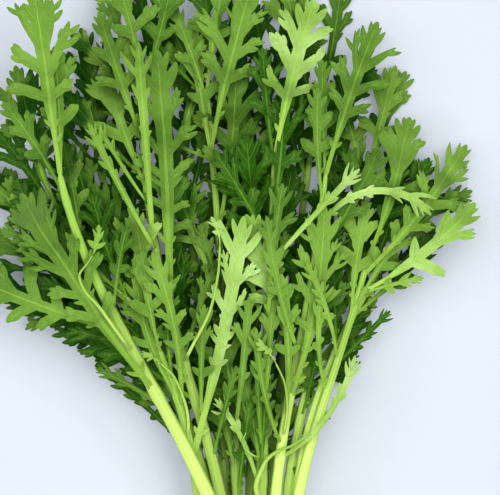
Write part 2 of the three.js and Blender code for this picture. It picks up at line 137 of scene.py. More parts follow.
# The leafy stems from the table up: route in plan from the cut end to the tip, radius at both ends,
# number of leaves by rule, place of the lowest, lengths of the lowest and the top leaf, how far
# leaves turn out, number of small leaves, and the leaves on top. These are given as place on the stem,
# heading, length, bend and width.
STEMS = {
    "stem_01": ([[0, -60], [0, 20], [4, 95], [8, 202]], [3.4, 1.4], 6, 0.26, [88, 68], 0.75, 11,
                [[0.72, -8, 88, 4, 1.1], [0.55, -14, 92, 4, 1.1]]),
    "stem_02": ([[-9.5, -56], [-10, 15], [-22, 90], [-44, 198]], [3.3, 1.4], 5, 0.38, [92, 66], 0.8, 11,
                [[0.9, 14, 74, 2, 1.1]]),
    "stem_03": ([[9, -59], [11, 15], [18, 85], [34, 192]], [3.3, 1.4], 6, 0.32, [84, 66], 0.6, 11,
                [[0.25, 12, 58, -10, 1], [0.99, -14, 74, 4, 1]]),
    "stem_04": ([[-19, -58], [-20, 5], [-42, 70], [-80, 170]], [3.2, 1.4], 6, 0.55, [84, 66], 0.9, 11, []),
    "stem_05": ([[16.5, -57], [15, 10], [32, 75], [60, 156]], [3.2, 1.4], 5, 0.5, [74, 60], 0.7, 10,
                [[0.99, -14, 62, 2, 1.1], [0.99, 12, 66, 4, 1.1]]),
    "stem_06": ([[-28, -54], [-20, 15], [-29, 60], [-96, 116]], [3.2, 1.4], 6, 0.6, [76, 60], 0.75, 9,
                [[0.5, -52, 52, -14, 0.45], [0.99, -36, 70, -8, 0.9]]),
    "stem_07": ([[24.5, -55], [19, 15], [31, 58], [72, 124]], [3.2, 1.4], 5, 0.8, [58, 56], 0.6, 3, []),
    "stem_08": ([[-4.8, -60], [-5, 20], [-14, 100], [-22, 206]], [3.3, 1.4], 6, 0.32, [86, 68], 0.6, 6,
                [[0.28, -14, 62, 10, 0.9], [0.99, 6, 66, 6, 1], [0.9, 12, 84, 4, 1.1]]),
    "stem_09": ([[-14.3, -60], [-15, 15], [-44, 80], [-94, 136]], [3.3, 1.4], 6, 0.56, [86, 64], 0.8, 9,
                [[0.99, -20, 86, 4, 0.9]]),
    "stem_10": ([[4.8, -57], [5, 20], [10, 100], [12, 168]], [3.3, 1.4], 5, 0.32, [82, 62], 0.6, 4,
                [[0.99, 10, 86, 8, 1], [0.27, -6, 60, -8, 0.8]]),
    "stem_11": ([[21, -58], [17, 10], [42, 50], [60, 120]], [3.6, 1.5], 2, 0.84, [60, 56], 0.8, 1,
                [[0.99, 22, 76, -10, 1.1], [0.95, 44, 86, -10, 0.8], [0.9, 62, 76, -20, 1],
                 [0.9, 70, 34, 10, 0.7]]),
    "stem_12": ([[-9, -57], [-9, 35], [-58, 92], [-53, 208]], [3.4, 1.7], 4, 0.42, [84, 60], 0.9, 2,
                [[0.9, -20, 72, 2, 0.9], [0.99, -10, 62, -10, 1.1], [0.6, 0, 132, -6, 0.62]]),
    "stem_13": ([[12, -60], [8, 25], [28, 66], [38, 162]], [3.4, 1.4], 3, 0.6, [76, 60], 0.7, 2,
                [[0.99, 15, 84, 8, 1], [0.85, 4, 78, 138, 0.35], [0.5, 20, 100, -20, 0.75],
                 [0.35, 58, 66, -44, 0.3]]),
    "stem_14": ([[-22, -58], [-24, 15], [-34, 62], [-62, 100]], [3.4, 1.4], 3, 0.6, [70, 60], 0.8, 2,
                [[0.75, -14, 54, 8, 1], [0.4, 16, 124, -8, 0.42]]),
    "stem_15": ([[-4, -60], [-12, 15], [-80, 88], [-92, 160]], [4.4, 1.8], 2, 0.64, [80, 64], 1, 2,
                [[0.99, -8, 94, -2, 1.1], [0.5, -36, 120, 4, 0.8]]),
}

# Slender leaves that lie on top of the pile: place on the stem, heading, length, bend, width and tone. Tones
# of 0.15 and less are painted shade on leaves that lie on top among the stalks
TOP_LEAVES = {
    "stem_13": [
        (0.45, 5, 74, -14, 0.5, 0.42), (0.38, -22, 62, 20, 0.34, 0.35), (0.62, -20, 70, 14, 0.5, 0.3),
    ],
    "stem_10": [
        (0.75, 40, 66, 6, 0.3, 0.75), (0.27, 0, 56, 8, 0.5, 0.15), (0.33, -6, 62, 8, 0.42, 0.2),
        (0.43, 6, 62, -4, 0.5, 0.3), (0.22, -6, 60, -34, 0.26, 0.75), (0.62, 3, 70, 6, 0.55, 0.25),
    ],
    "stem_08": [(0.22, 4, 56, 6, 0.5, 0.12), (0.36, 8, 72, -4, 0.46, 0.3)],
    "stem_12": [
        (0.29, 12, 50, 4, 0.45, 0.15), (0.37, -2, 60, 6, 0.5, 0.35), (0.75, -4, 96, -1, 0.32, 0.5),
        (0.8, -34, 50, 2, 0.3, 0.45), (0.72, -30, 72, 4, 0.3, 0.5),
    ],
    "stem_14": [(0.55, 2, 82, -24, 0.55, 0.42)],
    "stem_11": [(0.62, -16, 58, 30, 0.4, 0.45), (0.72, -8, 52, -20, 0.45, 0.5)],
}
TOP_SEED = 77
TOP_STEPS = 60
TOP_ALONG = (0, 0.3, 0.42, 0.75, 1)
TOP_REACH = (0.014, 0.014, 0.16, 0.16, 0.06)  # half width that is kept clear of the pile there
BLADE_HALF = 0.24  # half the thickness of a finished blade

# Thin leaf stalks over the pile: the stem and the place that each grows from, its radius at both
# ends, its route in plan from there on, and the length of the young leaf at its end, if it has one
RUNNERS = {
    "runner_low": ("stem_10", 0.22, (1.6, 0.5),
                   [[3, 3], [5.5, 11], [9, 17.5], [15, 22], [21, 24.5], [30, 31]], 0),
    "runner_arc": ("stem_13", 0.4, (0.8, 0.5), [[18.5, 40], [18.5, 48], [17, 57], [13, 66]], 15),
    "runner_curl": ("stem_10", 0.32, (0.7, 0.3), [[2, 19], [-2.5, 23], [-3.5, 27], [-2, 31]], 0),
    "runner_young": ("stem_15", 0.6, (1.0, 0.5), [[-72, 93], [-80, 102], [-83, 110], [-79, 116]], 20),
    "runner_mid": ("stem_12", 0.5, (1.0, 0.6), [[-28, 76], [-20, 92], [-16, 110], [-15, 124]], 16),
    "runner_left": ("stem_14", 0.46, (0.9, 0.6), [[-31, 40], [-33.5, 50], [-38, 60], [-44, 66]], 13),
}
RUNNER_STEPS = 70
TAUT = 400  # rounds in which a thin stalk is drawn taut over what it lies on

# The fine leaf: blade and midrib, in mm
RIDGE = 0.8  # half width of the midrib at the root, as a share of the stalk's
RIDGE_TOP = 0.35
RIDGE_UNDER = 0.95
VEIN_SINK = 0.3
GRAIN = 2.3  # spacing of the blade's inner points
FORKED = 7.0  # lobes longer than this fork
SHORT = 7.5  # fingers shorter than this are drawn with fewer points
NARROW = 0.5  # leaves less wide than this have short lobes on their lower half
SMOOTH = 0.33  # and those less wide than this have smooth stalks
SLIMMEST = 0.4  # how slim the parts of the least wide leaf are
KEPT_OFF = 0.5  # distance of the blade's inner points from its edge, rib and veins
TRACED = 2.6  # spacing of the points along the rib and the veins
RIDGE_LINES = (-1, -0.6, 0, 0.6, 1)  # lines of points over the midrib, as shares of its half width
CRISP = 0.45  # height of the small waves at the margin
CRISP_IN = 2.5  # how far these reach in from it
SINK_WIDE = 1.1  # how far beside a vein the blade is sunk

# Shade inside the pile, in mm: none down to the first depth, and full at the second below that
NEAR_TOP = 1.0
DEEP = 20.0
EVENED = 3  # cells each way that the top of the pile is evened out over

# A finger's half width from its foot to its tip, on the bluntest leaves and on the most pointed ones
FINGER_ALONG = np.array([-0.08, 0.2, 0.46, 0.7, 0.88, 0.97, 1.0])
BLUNT = np.array([0.8, 0.86, 1.0, 0.9, 0.6, 0.32, 0.1])
POINTED = np.array([0.95, 0.96, 0.9, 0.66, 0.36, 0.15, 0.03])

# Forks of a lobe: side, chance, place on the lobe and share of the length
FORKS = ((1, 0.95, 0.3, 1), (-1, 0.7, 0.42, 0.7))
LOBE_CURL = 24
FORK_TURN = (30, 14)  # least and how much more, as in the pairs below
FORK_LONG = (0.44, 0.18)
FORK_THICK = (0.62, 0.2)
FORK_SHIFT = 0.14
FORK_CURL = 0.4
THIRD_FORK = 1.7  # times as long as a forked lobe is one with a third fork
THIRD_PLACE = (0.6, 0.12)
THIRD_TURN = 0.6
THIRD_LONG = 0.4
THIRD_THICK = 0.62
THIRD_CURL = 0.3

# Fingers along a leaf: the nubs on its stalk, its lobes, the teeth between them and the end lobe's
NUBS = (0.1, 0.18, 0.26)
NUB_CHANCE = 0.4
NUB_LONG = (0.02, 0.03)
NUB_TURN = 50
NUB_HALF = 1.2
LOBE_SHIFT = 0.24
LOBE_TURN = 16
LOBE_LONG = (0.88, 0.34)
LOBE_HALF = (0.31, 0.3)  # share of a lobe's room, and mm more
LOBE_MOST = 2.8
LOBE_WIDE = (0.8, 0.35)
LOW_LOBES = (0.5, 0.1)  # how long the lower lobes are on narrow leaves and on smooth ones
TOOTH_CHANCE = 0.35
TOOTH_HALF = 1.3
END_PLACE = (0.8, 0.03)
END_TURN = (34, 8)
END_LONG = (0.13, 0.05)
END_HALF = 0.028
PRONG_PLACE = (0.88, 0.02)
PRONG_TURN = (24, 8)
PRONG_LONG = 0.1
PRONG_HALF = 0.02

# Seeds of the draws: for the finished leaves' shapes, their tones, and the added leaves' growth
LEAF_SEED = 1000
OVER_SEED = 3000
YOUNG_SEED = 4000
INNER_SEED = 5000
EACH_STEM = 40
TONE_SEED = 300
YOUNG_GROWTH = 60
INNER_GROWTH = 700

# Inner leaves: small ones that grow into free room inside the bunch, where the table would show
INNER_PLACES = 24  # tried along each stem
INNER_TURNS = (-66, -44, -25, 25, 44, 66)
INNER_LONG = (32, 44, 64)
INNER_RISES = (-0.75, -0.5, -0.3, -0.12, 0.06)  # of the tip, for each step outward
INNER_ROOT = 12.0  # up to here one lies close to its stem
ABOVE = 0.2  # share of an inner leaf that may rise over the top of the pile
INNER_LEAST = 4  # bare cells that one has to cover
INNER_MOST = 80
INNER_WIDE = 0.75
INNER_TONE = (0.15, 0.35)
LAYERS = 130  # of one mm
CLOSED = 0.5  # share of the cells near a bare one that are covered inside the bunch
STRAYING = 0.08  # share of a leaf that may lie over bare table outside the bunch

# Ribbed stalks: sides, ribs and depth of the grooves of a stem and of a thin stalk
STALK_RIBS = 7
STEM_DRAWN = {"Sides": 36, "Ribs": STALK_RIBS, "Groove": 0.03}
THIN_DRAWN = {"Sides": 14, "Ribs": 5, "Groove": 0.055}
STALK_RINGS = 76
JOINT_SWELL = 0.14
JOINT_WIDE = 0.014
STALK_END = (0.96, 0.985, 1), (1, 0.8, 0.35)
THIN_PALE = 0.55

# The photo's frame and the camera, in metres
FRAME_WIDE = 0.25
FRAME_MIDDLE = 0.12375
PILE_MIDDLE = 0.045
CAMERA_FAR = 1.3

# How pale each stem is, from deep green to yellow-white: its own colour, with painted shade on the stems in
# the bunch's middle and painted light on the brightest ones
STEM_PALENESS_AND_LIGHT = {
    "stem_01": 0.25, "stem_02": 0.4, "stem_03": 0.4, "stem_04": 0.5, "stem_05": 0.7, "stem_06": 0.5,
    "stem_07": 1.1, "stem_08": 0.3, "stem_09": 0.45, "stem_10": 0.35, "stem_11": 1.1, "stem_12": 0.4,
    "stem_13": 0.95, "stem_14": 0.5, "stem_15": 0.9,
}

# How bright the leaves are that the photo shows best, in their order on each stem
TONES = {
    "stem_06": [0.36, 0.42], "stem_09": [0.3], "stem_10": [0.76, 0.36], "stem_11": [0.36, 0.5, 0.74, 0.6],
    "stem_12": [0.3, 0.36, 0.32], "stem_13": [0.36, 0.76, 0.46, 0.78], "stem_14": [0.42, 0.7],
    "stem_15": [0.5, 0.4],
}
OTHER_TONE = 0.45

# Colours of leaves, stalks, cuts and floor, as linear red, green and blue
# Shaded and lit greens of a leaf: the mix between them holds each leaf's own tone as well as painted light
# and shade
SHADED_GREEN = (0.012, 0.092, 0.0003)
FRESH_AND_LIT_GREEN = (0.3, 0.54, 0.08)
# The palest green is a painted highlight where a blade is brightest
PAINTED_HIGHLIGHT_GREEN = (0.57, 0.79, 0.33)
FLECK_GREEN = (0.34, 0.52, 0.08)
NET_GREEN = (0.3, 0.48, 0.08)
VEIN_GREEN = (0.36, 0.56, 0.1)
DARK_RIB = (0.12, 0.3, 0.012)
PALE_RIB = (0.5, 0.74, 0.14)
LEAF_UNDERSIDE = (0.3, 0.43, 0.14)
# Painted shade for leaves deep in the pile
LEAF_PAINTED_SHADE = (0.004, 0.056, 0.0)
DARK_STALK = (0.15, 0.35, 0.015)
PALE_STALK = (0.72, 0.93, 0.23)
STALK_UP = (0.3, 0.54, 0.07)
GROOVE_GREEN = (0.28, 0.5, 0.06)
STREAK_GREEN = (0.72, 0.92, 0.22)
CLOUD_GREEN = (0.36, 0.58, 0.08)
# Painted shade for stalks deep in the pile
STALK_PAINTED_SHADE = (0.02, 0.085, 0.002)
PITH = (0.55, 0.68, 0.35)
PITH_GRAIN = (0.78, 0.86, 0.56)
PAPER = (0.56, 0.605, 0.705)
PAPER_GRAIN = (0.575, 0.62, 0.72)

# Soft lights: place, what each points at, size, power and tint
LIGHTS = {
    "key": ((0.22, 0.26, 1.2), (0, 0.12, 0.02), 0.9, 14.6, (1.0, 0.99, 0.95)),
    "fill": ((-0.6, 0.1, 1.0), (0, 0.12, 0.02), 1.0, 6.4, (0.98, 1.0, 0.98)),
    "front": ((0.3, -0.8, 0.8), (0, 0.05, 0.02), 0.4, 2.5, (1.0, 0.99, 0.96)),
}


def draws(seed):
    """Repeatable draws between 0 and 1. Each is the last one times a factor, less its whole turns."""
    factor, turn = 16807, 2147483647
    state = seed * 7919 + 1

    def draw():
        nonlocal state
        state = (state * factor) % turn
        return state / turn

    return draw


def drawn(least_and_more, draw):
    """A least value and a drawn share of how much more it may be."""
    least, more = least_and_more
    return least + more * draw()


def slimness(leaf):
    """How slim a leaf's middle and fingers are drawn, from its width."""
    return SLIMMEST + (1 - SLIMMEST) * min(leaf["width"], 1)


pile = np.full(COLUMNS * ROWS, TABLE)


def cell_at(x, y):
    rows = np.floor((y - GRID_Y) / CELL).astype(int)
    return rows * COLUMNS + np.floor((x - GRID_X) / CELL).astype(int)


def height_near(heights, x, y):
    middle = cell_at(x, y)
    top = np.full(len(middle), TABLE)
    for down in (-COLUMNS, 0, COLUMNS):
        for across in (-1, 0, 1):
            top = np.maximum(top, heights[middle + down + across])
    return top


def settle(shapes, needs, hang, give, lift):
    """Lets a piece down: its height is a sum of shapes, lifted off its most pressed point each time."""
    hang, give, lift = (np.array(values, dtype=float) for values in (hang, give, lift))
    amounts = hang
    for turn in range(ROUNDS):
        if turn:
            amounts = hang + RELAX * (amounts - hang)
        for _ in range(PASSES):
            gaps = needs - shapes @ amounts
            worst = int(np.argmax(gaps))
            if gaps[worst] <= TOUCH:
                break
            pull = give * shapes[worst]
            amounts = amounts + gaps[worst] * pull / (pull * shapes[worst]).sum()
    more = ((needs - shapes @ amounts) / (shapes @ lift)).max()
    return amounts + max(more, 0) * lift


def lean_of(leaf, i):
    return LOBE_LEAN[0] + (LOBE_LEAN[1] - LOBE_LEAN[0]) * i / (leaf["pairs"] - 1)


def leaf_net(leaf):
    """The plain blade's points as (s, t, half thickness) and its triangles."""
    points, faces = [], []

    def add(along, across, thick):
        points.append((along * leaf["length"], across * leaf["length"], thick / 2))
        return len(points) - 1

    pairs = leaf["pairs"]
    stations = [0] + [FIRST_LOBE + ((LAST_LOBE - FIRST_LOBE) * i) / pairs for i in range(pairs + 1)]
    stations += [END_NOTCH[0], 1]
    rib = [
        add(a, 0, RIB_THICK + (ROOT_THICK - RIB_THICK) * max(0, 1 - a / ROOT_REACH) if a < 1 else EDGE_THICK)
        for a in stations
    ]
    last = len(rib) - 1
    for side in (-1, 1):
        edge = add(0, side * STALK_HALF, ROOT_EDGE)
        for i in range(last - 1):
            if i + 1 < last - 1:
                following = add(stations[i + 1], side * (WING_HALF if i else STALK_HALF), EDGE_THICK)
            else:
                following = add(END_NOTCH[0], side * END_NOTCH[1], EDGE_THICK)
            faces += [(rib[i], rib[i + 1], following), (rib[i], following, edge)]
            if 0 < i <= pairs:
                reach = leaf["reach"][1 if side > 0 else 0][i - 1]
                middle = (stations[i] + stations[i + 1]) / 2
                lean = lean_of(leaf, i - 1)
                tip = (middle + reach * math.cos(lean), WING_HALF + reach * math.sin(lean))
                back = (LOBE_TIP * math.sin(lean), -LOBE_TIP * math.cos(lean))
                low = add(tip[0] - back[0], side * (tip[1] - back[1]), EDGE_THICK)
                high = add(tip[0] + back[0], side * (tip[1] + back[1]), EDGE_THICK)
                faces += [(edge, following, high), (edge, high, low)]
            elif i > pairs:
                faces.append((edge, following, add(END_SHOULDER[0], side * END_SHOULDER[1], EDGE_THICK)))
            edge = following
        tip = add(END_CORNER[0], side * END_CORNER[1], EDGE_THICK)
        faces += [(rib[last - 1], rib[last], tip), (rib[last - 1], tip, edge)]
    return np.array(points), faces


def leaf_plan(leaf, s, t):
    turned = leaf["heading"] + leaf["bend"] * s
    x = leaf["x"] - (np.cos(turned) - math.cos(leaf["heading"])) / leaf["bend"] + t * np.cos(turned)
    y = leaf["y"] + (np.sin(turned) - math.sin(leaf["heading"])) / leaf["bend"] - t * np.sin(turned)
    return x, y


def leaf_form(leaf, s, t):
    out = np.abs(t) / (leaf["length"] * HALF_WIDTH)
    wave = np.sin((leaf["waves"] * s) / leaf["length"] + leaf["phase"] + np.where(t > 0, 0, FAR_EDGE))
    return leaf["fold"] * np.abs(t) + leaf["ruffle"] * out * out * wave


def leaf_shapes(leaf, s, t):
    along = s / leaf["length"]
    out = t / (leaf["length"] * HALF_WIDTH)
    arch = 1 - np.exp(-along / ARCH)
    shapes = [arch, arch * out, arch * out * (2 * along - 1)]
    step = (LAST_LOBE - FIRST_LOBE) / leaf["pairs"]
    joints = [0] + [FIRST_LOBE + step * k for k in range(leaf["pairs"] + 1)] + [1]
    for before, joint, after in zip(joints, joints[1:], joints[2:] + [2]):
        low, high = (along - before) / (joint - before), (along - joint) / (after - joint)
        off = np.clip(np.where(along < joint, low - 1, high if after < 2 else 0), -1, 1)
        shapes.append(0.5 * (1 + np.cos(math.pi * off)))
    for side in (-1, 1):
        for i in range(leaf["pairs"]):
            foot = (s - np.abs(t) / math.tan(lean_of(leaf, i))) / leaf["length"]
            off = (foot - FIRST_LOBE - step * (i + 0.5)) / step
            near = (side * t > 0) & (np.abs(off) < 1)
            shapes.append(np.where(near, out * out * 0.5 * (1 + np.cos(math.pi * off)), 0))
    return np.stack(shapes, axis=1)


weights_of = {}


def spread(values, faces, places):
    """Values at points spread over the faces, closer than a cell."""
    samples = []
    for face in faces:
        corners = list(face)
        p, q, r = places[corners]
        longest = max(math.hypot(*(p - q)), math.hypot(*(q - r)), math.hypot(*(r - p)))
        steps = math.ceil(longest / CELL)
        if steps not in weights_of:
            weights_of[steps] = np.array([
                (1 - i / steps - j / steps, i / steps, j / steps)
                for i in range(steps + 1) for j in range(steps - i + 1)
            ])
        samples.append(weights_of[steps] @ values[corners])
    return np.concatenate(samples)


def lay_leaf(leaf, below):
    points, faces = leaf_net(leaf)
    s, t, half = points.T
    x, y = leaf_plan(leaf, s, t)
    own = leaf["z"] + leaf_form(leaf, s, t)
    values = np.column_stack([x, y, s, half, own, leaf_shapes(leaf, s, t)])
    samples = spread(values, faces, np.column_stack([x, y]))
    samples = samples[samples[:, 2] > FREE]
    x, y, s, half, own = samples[:, :5].T
    shapes = samples[:, 5:]
    floor = np.where(s > NEAR_STEM, height_near(pile, x, y), height_near(below, x, y))
    joints, flaps = leaf["pairs"] + 2, 2 * leaf["pairs"]
    give = RIB_GIVE + [JOINT_GIVE] * joints + [FLAP_GIVE] * flaps
    lift = RIB_LIFT + [0] * (joints + flaps)
    leaf["laid"] = settle(shapes, floor + AIR + half - own, leaf["hang"] + leaf["flaps"], give, lift)
    np.maximum.at(pile, cell_at(x, y), shapes @ leaf["laid"] + own + half)


def route_at(route, u):
    v = 1 - u
    weights = (v * v * v, 3 * v * v * u, 3 * v * u * u, u * u * u)
    return sum(w * point[0] for w, point in zip(weights, route)), sum(
        w * point[1] for w, point in zip(weights, route)
    )


def stem_at(stem, u):
    """A stem's section at a share of its length: place, direction, radius and height shapes."""
    x, y = route_at(stem["route"], u)
    ahead = route_at(stem["route"], min(u + 0.0001, 1))
    behind = route_at(stem["route"], max(u - 0.0001, 0))
    along = (ahead[0] - behind[0], ahead[1] - behind[1])
    size = math.hypot(*along)
    v = 1 - u
    return {
        "x": x, "y": y, "runs": (along[0] / size, along[1] / size),
        "radius": stem["radius"][0] + (stem["radius"][1] - stem["radius"][0]) * u,
        "shapes": [v * v * v, 3 * u * v * v, 3 * u * u * v, u * u * u],
    }


def stem_height(stem, p):
    return float(np.dot(p["shapes"], stem["laid"])) + SINK * p["radius"]


def lay_stem(stem):
    steps = 100
    xs, ys, deeps, radii, shapes, inside = [], [], [], [], [], []
    for i in range(steps + 1):
        p = stem_at(stem, i / steps)
        reach = p["radius"] + (ROOM if i / steps > stem["first"] - LEAFLESS else 0)
        points = math.ceil(reach * 2)
        for j in range(-points, points + 1):
            across = (reach * j) / points
            xs.append(p["x"] + across * p["runs"][1])
            ys.append(p["y"] - across * p["runs"][0])
            deeps.append(math.sqrt(max(0, p["radius"] ** 2 - across**2)))
            radii.append(p["radius"])
            shapes.append(p["shapes"])
            inside.append(abs(across) <= p["radius"])
    xs, ys, deeps, radii, shapes, inside = map(np.array, (xs, ys, deeps, radii, shapes, inside))
    top = height_near(pile, xs, ys)
    needs = np.where(top > TABLE, top + AIR + deeps - SINK * radii, 0)
    stem["laid"] = settle(shapes, needs, [0, 0, 0, 0], STEM_GIVE, STEM_LIFT)
    below = pile.copy()
    heights = shapes @ stem["laid"] + SINK * radii + deeps
    np.maximum.at(pile, cell_at(xs[inside], ys[inside]), heights[inside])
    return below


def leaves_of(stem, seed):
    draw = draws(seed)
    leaves = []
    for j in range(stem["leaves"] - 1, -1, -1):
        height = j / (stem["leaves"] - 1)
        u = stem["first"] + (TOP_LEAF - stem["first"]) * height**CROWDED
        runs = stem_at(stem, u)["runs"]
        side = 1 if j % 2 else -1
        turn = math.radians(GOLDEN * j + 60 * seed)
        opened = OUTWARD[0] + OUTWARD[1] * abs(math.sin(turn))
        outward = stem["spread"] * opened * (1 - TOP_CLOSES * height)
        heading = math.degrees(math.atan2(runs[0], runs[1])) + side * outward
        length = (stem["long"][0] + (stem["long"][1] - stem["long"][0]) * height) * drawn(LONG_VARIES, draw)
        bend = -side * (BEND[0] + BEND[1] * draw()) * (1 - TOP_STIFF * height)
        leaves.append((u, heading, length, bend, WIDTH[0] + (WIDTH[1] - WIDTH[0]) * draw()))
    grown = [leaf_of(stem, values, draw) for values in leaves + stem["own"]]
    return grown[:len(leaves)] + small_leaves_of(stem, seed + SMALL_SEED) + grown[len(leaves):]


def leaf_of(stem, values, draw):
    place, heading, length, bend, width = values
    root = stem_at(stem, place)
    pairs = 4 if length > LARGE else 3 if length > MIDDLING else 2

    def varied(least, most):
        return least + (most - least) * draw()

    def lobe(i):
        swell = math.sin(math.pi * (0.05 + (0.62 * (i + 0.6)) / pairs))
        return width * (LOBE_LEAST + LOBE_MORE * swell) * varied(0.7, 1.2)

    leaf = {
        "x": root["x"], "y": root["y"], "z": stem_height(stem, root), "length": length, "pairs": pairs,
        "heading": math.radians(heading), "bend": math.radians(bend) / length, "width": width,
        "place": place,
    }
    droop = -varied(*DROOP) * length
    step = (LAST_LOBE - FIRST_LOBE) / pairs
    leaf["hang"] = [varied(0, 2), varied(-TILT, TILT), varied(-TILT, TILT)]
    leaf["hang"] += [droop * (FIRST_LOBE + step * k) for k in range(pairs + 1)] + [droop]
    leaf["flaps"] = [varied(0, -FLAP_DROP) for _ in range(2 * pairs)]
    leaf["fold"] = varied(*FOLD)
    leaf["ruffle"] = varied(*RUFFLE)
    leaf["waves"] = varied(12, 20)
    leaf["phase"] = varied(0, 2 * math.pi)
    leaf["reach"] = [[lobe(i) for i in range(pairs)] for _ in (1, 2)]
    return leaf


def small_leaves_of(stem, seed):
    """The small leaves that grow between the large ones."""
    draw = draws(seed)
    leaves = []
    lowest = max(stem["first"] - SMALL_BELOW, SMALL_BELOW)
    for j in range(stem["small"]):
        share = (j + draw()) / stem["small"]
        u = lowest + (SMALL_LAST - lowest) * share
        runs = stem_at(stem, u)["runs"]
        side = -1 if j % 2 else 1
        heading = math.degrees(math.atan2(runs[0], runs[1])) + side * drawn(SMALL_TURN, draw)
        length = drawn(SMALL_LONG, draw)
        width = SMALL_WIDE[0] + SMALL_WIDE[1] * share
        leaves.append((u, heading, length, side * (30 * draw() - 10), width))
    runs = stem_at(stem, 1)["runs"]
    tipped = any(own[0] > TIPPED for own in stem["own"])
    for k in range(0 if tipped else TIP_LEAVES):
        heading = math.degrees(math.atan2(runs[0], runs[1]))
        heading += TIP_APART * (k - 0.5 + 0.4 * (draw() - 0.5))
        length = drawn(TIP_LONG, draw)
        leaves.append((TIP_PLACE, heading, length, 20 * (draw() - 0.5), TIP_WIDE))
    return [{**leaf_of(stem, values, draw), "small": True} for values in leaves]


def lay_bunch():
    stems = []
    keys = ("route", "radius", "leaves", "first", "long", "spread", "small", "own")
    for i, (name, values) in enumerate(STEMS.items()):
        stem = {"name": name, **dict(zip(keys, values))}
        below = lay_stem(stem)
        stem["grown"] = leaves_of(stem, FIRST_SEED + i)
        for leaf in stem["grown"]:
            lay_leaf(leaf, below)
        stems.append(stem)
    return stems


def drawn_taut(least, start):
    """The heights of something drawn taut from a start over what it must clear."""
    z = np.maximum(least, start)
    z[0] = start
    for _ in range(TAUT):
        z[1:-1] = np.maximum(least[1:-1], (z[:-2] + z[2:]) / 2)
    return z


def lay_top_leaves(stems):
    draw = draws(TOP_SEED)
    for stem in stems:
        stem["over"] = []
        for place, heading, length, bend, width, tone in TOP_LEAVES.get(stem["name"], []):
            leaf = leaf_of(stem, (place, heading, length, bend, width), draw)
            leaf["tone"] = tone
            s = np.linspace(0, length, TOP_STEPS)
            reach = length * np.interp(s / length, TOP_ALONG, TOP_REACH) * width
            x, y = leaf_plan(leaf, s[:, None], reach[:, None] * np.linspace(-1, 1, 9))
            cells = cell_at(x, y)
            least = height_near(pile, x.ravel(), y.ravel()).reshape(x.shape).max(axis=1) + AIR + BLADE_HALF
            least[s < 2 * stem_at(stem, place)["radius"]] = 0
            leaf["rib"] = s, drawn_taut(least, leaf["z"])
            np.maximum.at(pile, cells, (leaf["rib"][1][:, None] + BLADE_HALF) * np.ones(9))
            stem["over"].append(leaf)


def smooth_route(points, steps):
    """Evenly many places on a smooth curve through points."""
    before = 2 * np.array(points[0]) - points[1]
    beyond = 2 * np.array(points[-1]) - points[-2]
    points = np.array([before, *points, beyond])
    places = []
    for u in np.linspace(0, len(points) - 3 - 1e-6, steps):
        k = int(u)
        a, b, c, d = points[k:k + 4]
        u -= k
        square, cube = 2 * a - 5 * b + 4 * c - d, 3 * b - a - 3 * c + d
        places.append(0.5 * (2 * b + (c - a) * u + square * u * u + cube * u**3))
    return np.array(places)


def lay_runner(stem, place, radii, route):
    """A thin stalk from inside a stem, over whatever lies in its way: its path and girths."""
    root = stem_at(stem, place)
    plan = smooth_route([[root["x"], root["y"]], *route], RUNNER_STEPS)
    girths = np.linspace(*radii, RUNNER_STEPS)
    least = height_near(pile, *plan.T) + girths + AIR
    away = np.hypot(*(plan - plan[0]).T)
    least[away < 2 * root["radius"]] = 0
    z = drawn_taut(least, stem_height(stem, root))
    np.maximum.at(pile, cell_at(*plan.T), z + girths)
    return np.column_stack([plan, z]), girths


def softened(points):
    """A closed outline with its corners cut."""
    points = np.array(points)
    following = np.roll(points, -1, axis=0)
    points = np.stack([0.75 * points + 0.25 * following, 0.25 * points + 0.75 * following], axis=1)
    return points.reshape(-1, 2)


def along_finger(foot, turn, reach, curl, share):
    """A place on a finger's axis, and the way the axis runs there."""
    chord, runs = turn + curl * share / 2, turn + curl * share
    return (
        foot[0] + reach * share * math.cos(chord), foot[1] + reach * share * math.sin(chord)
    ), (math.cos(runs), math.sin(runs))


def finger(foot, turn, reach, half, curl, blunt=0.5):
    """The outline of one finger of a blade and the vein in it."""
    lower, upper = [], []
    stations = slice(None, None, 2 if reach < SHORT else 1)
    halves = POINTED + (BLUNT - POINTED) * blunt
    for share, width in zip(FINGER_ALONG[stations], halves[stations]):
        (s, t), (cos, sin) = along_finger(foot, turn, reach, curl, share)
        lower.append((s + width * half * sin, t - width * half * cos))
        upper.append((s - width * half * sin, t + width * half * cos))
    vein = [along_finger(foot, turn, reach, curl, share)[0] for share in (0, 0.45, 0.88)]
    return softened(lower + upper[::-1]), vein


def lobe_fingers(foot, turn, free, reach, half, blunt, draw):
    """The fingers of a lobe. Its axis starts at the rib, and free is how much of it is outside the
    blade's middle."""
    curl = math.radians(LOBE_CURL) * (draw() - 0.65)
    fingers = [finger(foot, turn, reach, half, curl, blunt)]
    if free < FORKED:
        return fingers
    start = 1 - free / reach
    for side, chance, at, shorter in FORKS:
        if draw() < chance:
            share = start + (1 - start) * drawn((at, FORK_SHIFT), draw)
            fork, _ = along_finger(foot, turn, reach, curl, share)
            spread_out = side * math.radians(drawn(FORK_TURN, draw))
            long = free * drawn(FORK_LONG, draw) * shorter
            thick = half * drawn(FORK_THICK, draw)
            fingers.append(finger(fork, turn + spread_out, long, thick, -FORK_CURL * side, blunt))
    if free > THIRD_FORK * FORKED:
        share = start + (1 - start) * drawn(THIRD_PLACE, draw)
        fork, _ = along_finger(foot, turn, reach, curl, share)
        side = 1 if draw() < 0.6 else -1
        long, thick = free * THIRD_LONG, half * THIRD_THICK
        fingers.append(finger(fork, turn + THIRD_TURN * side, long, thick, -THIRD_CURL * side, blunt))
    return fingers


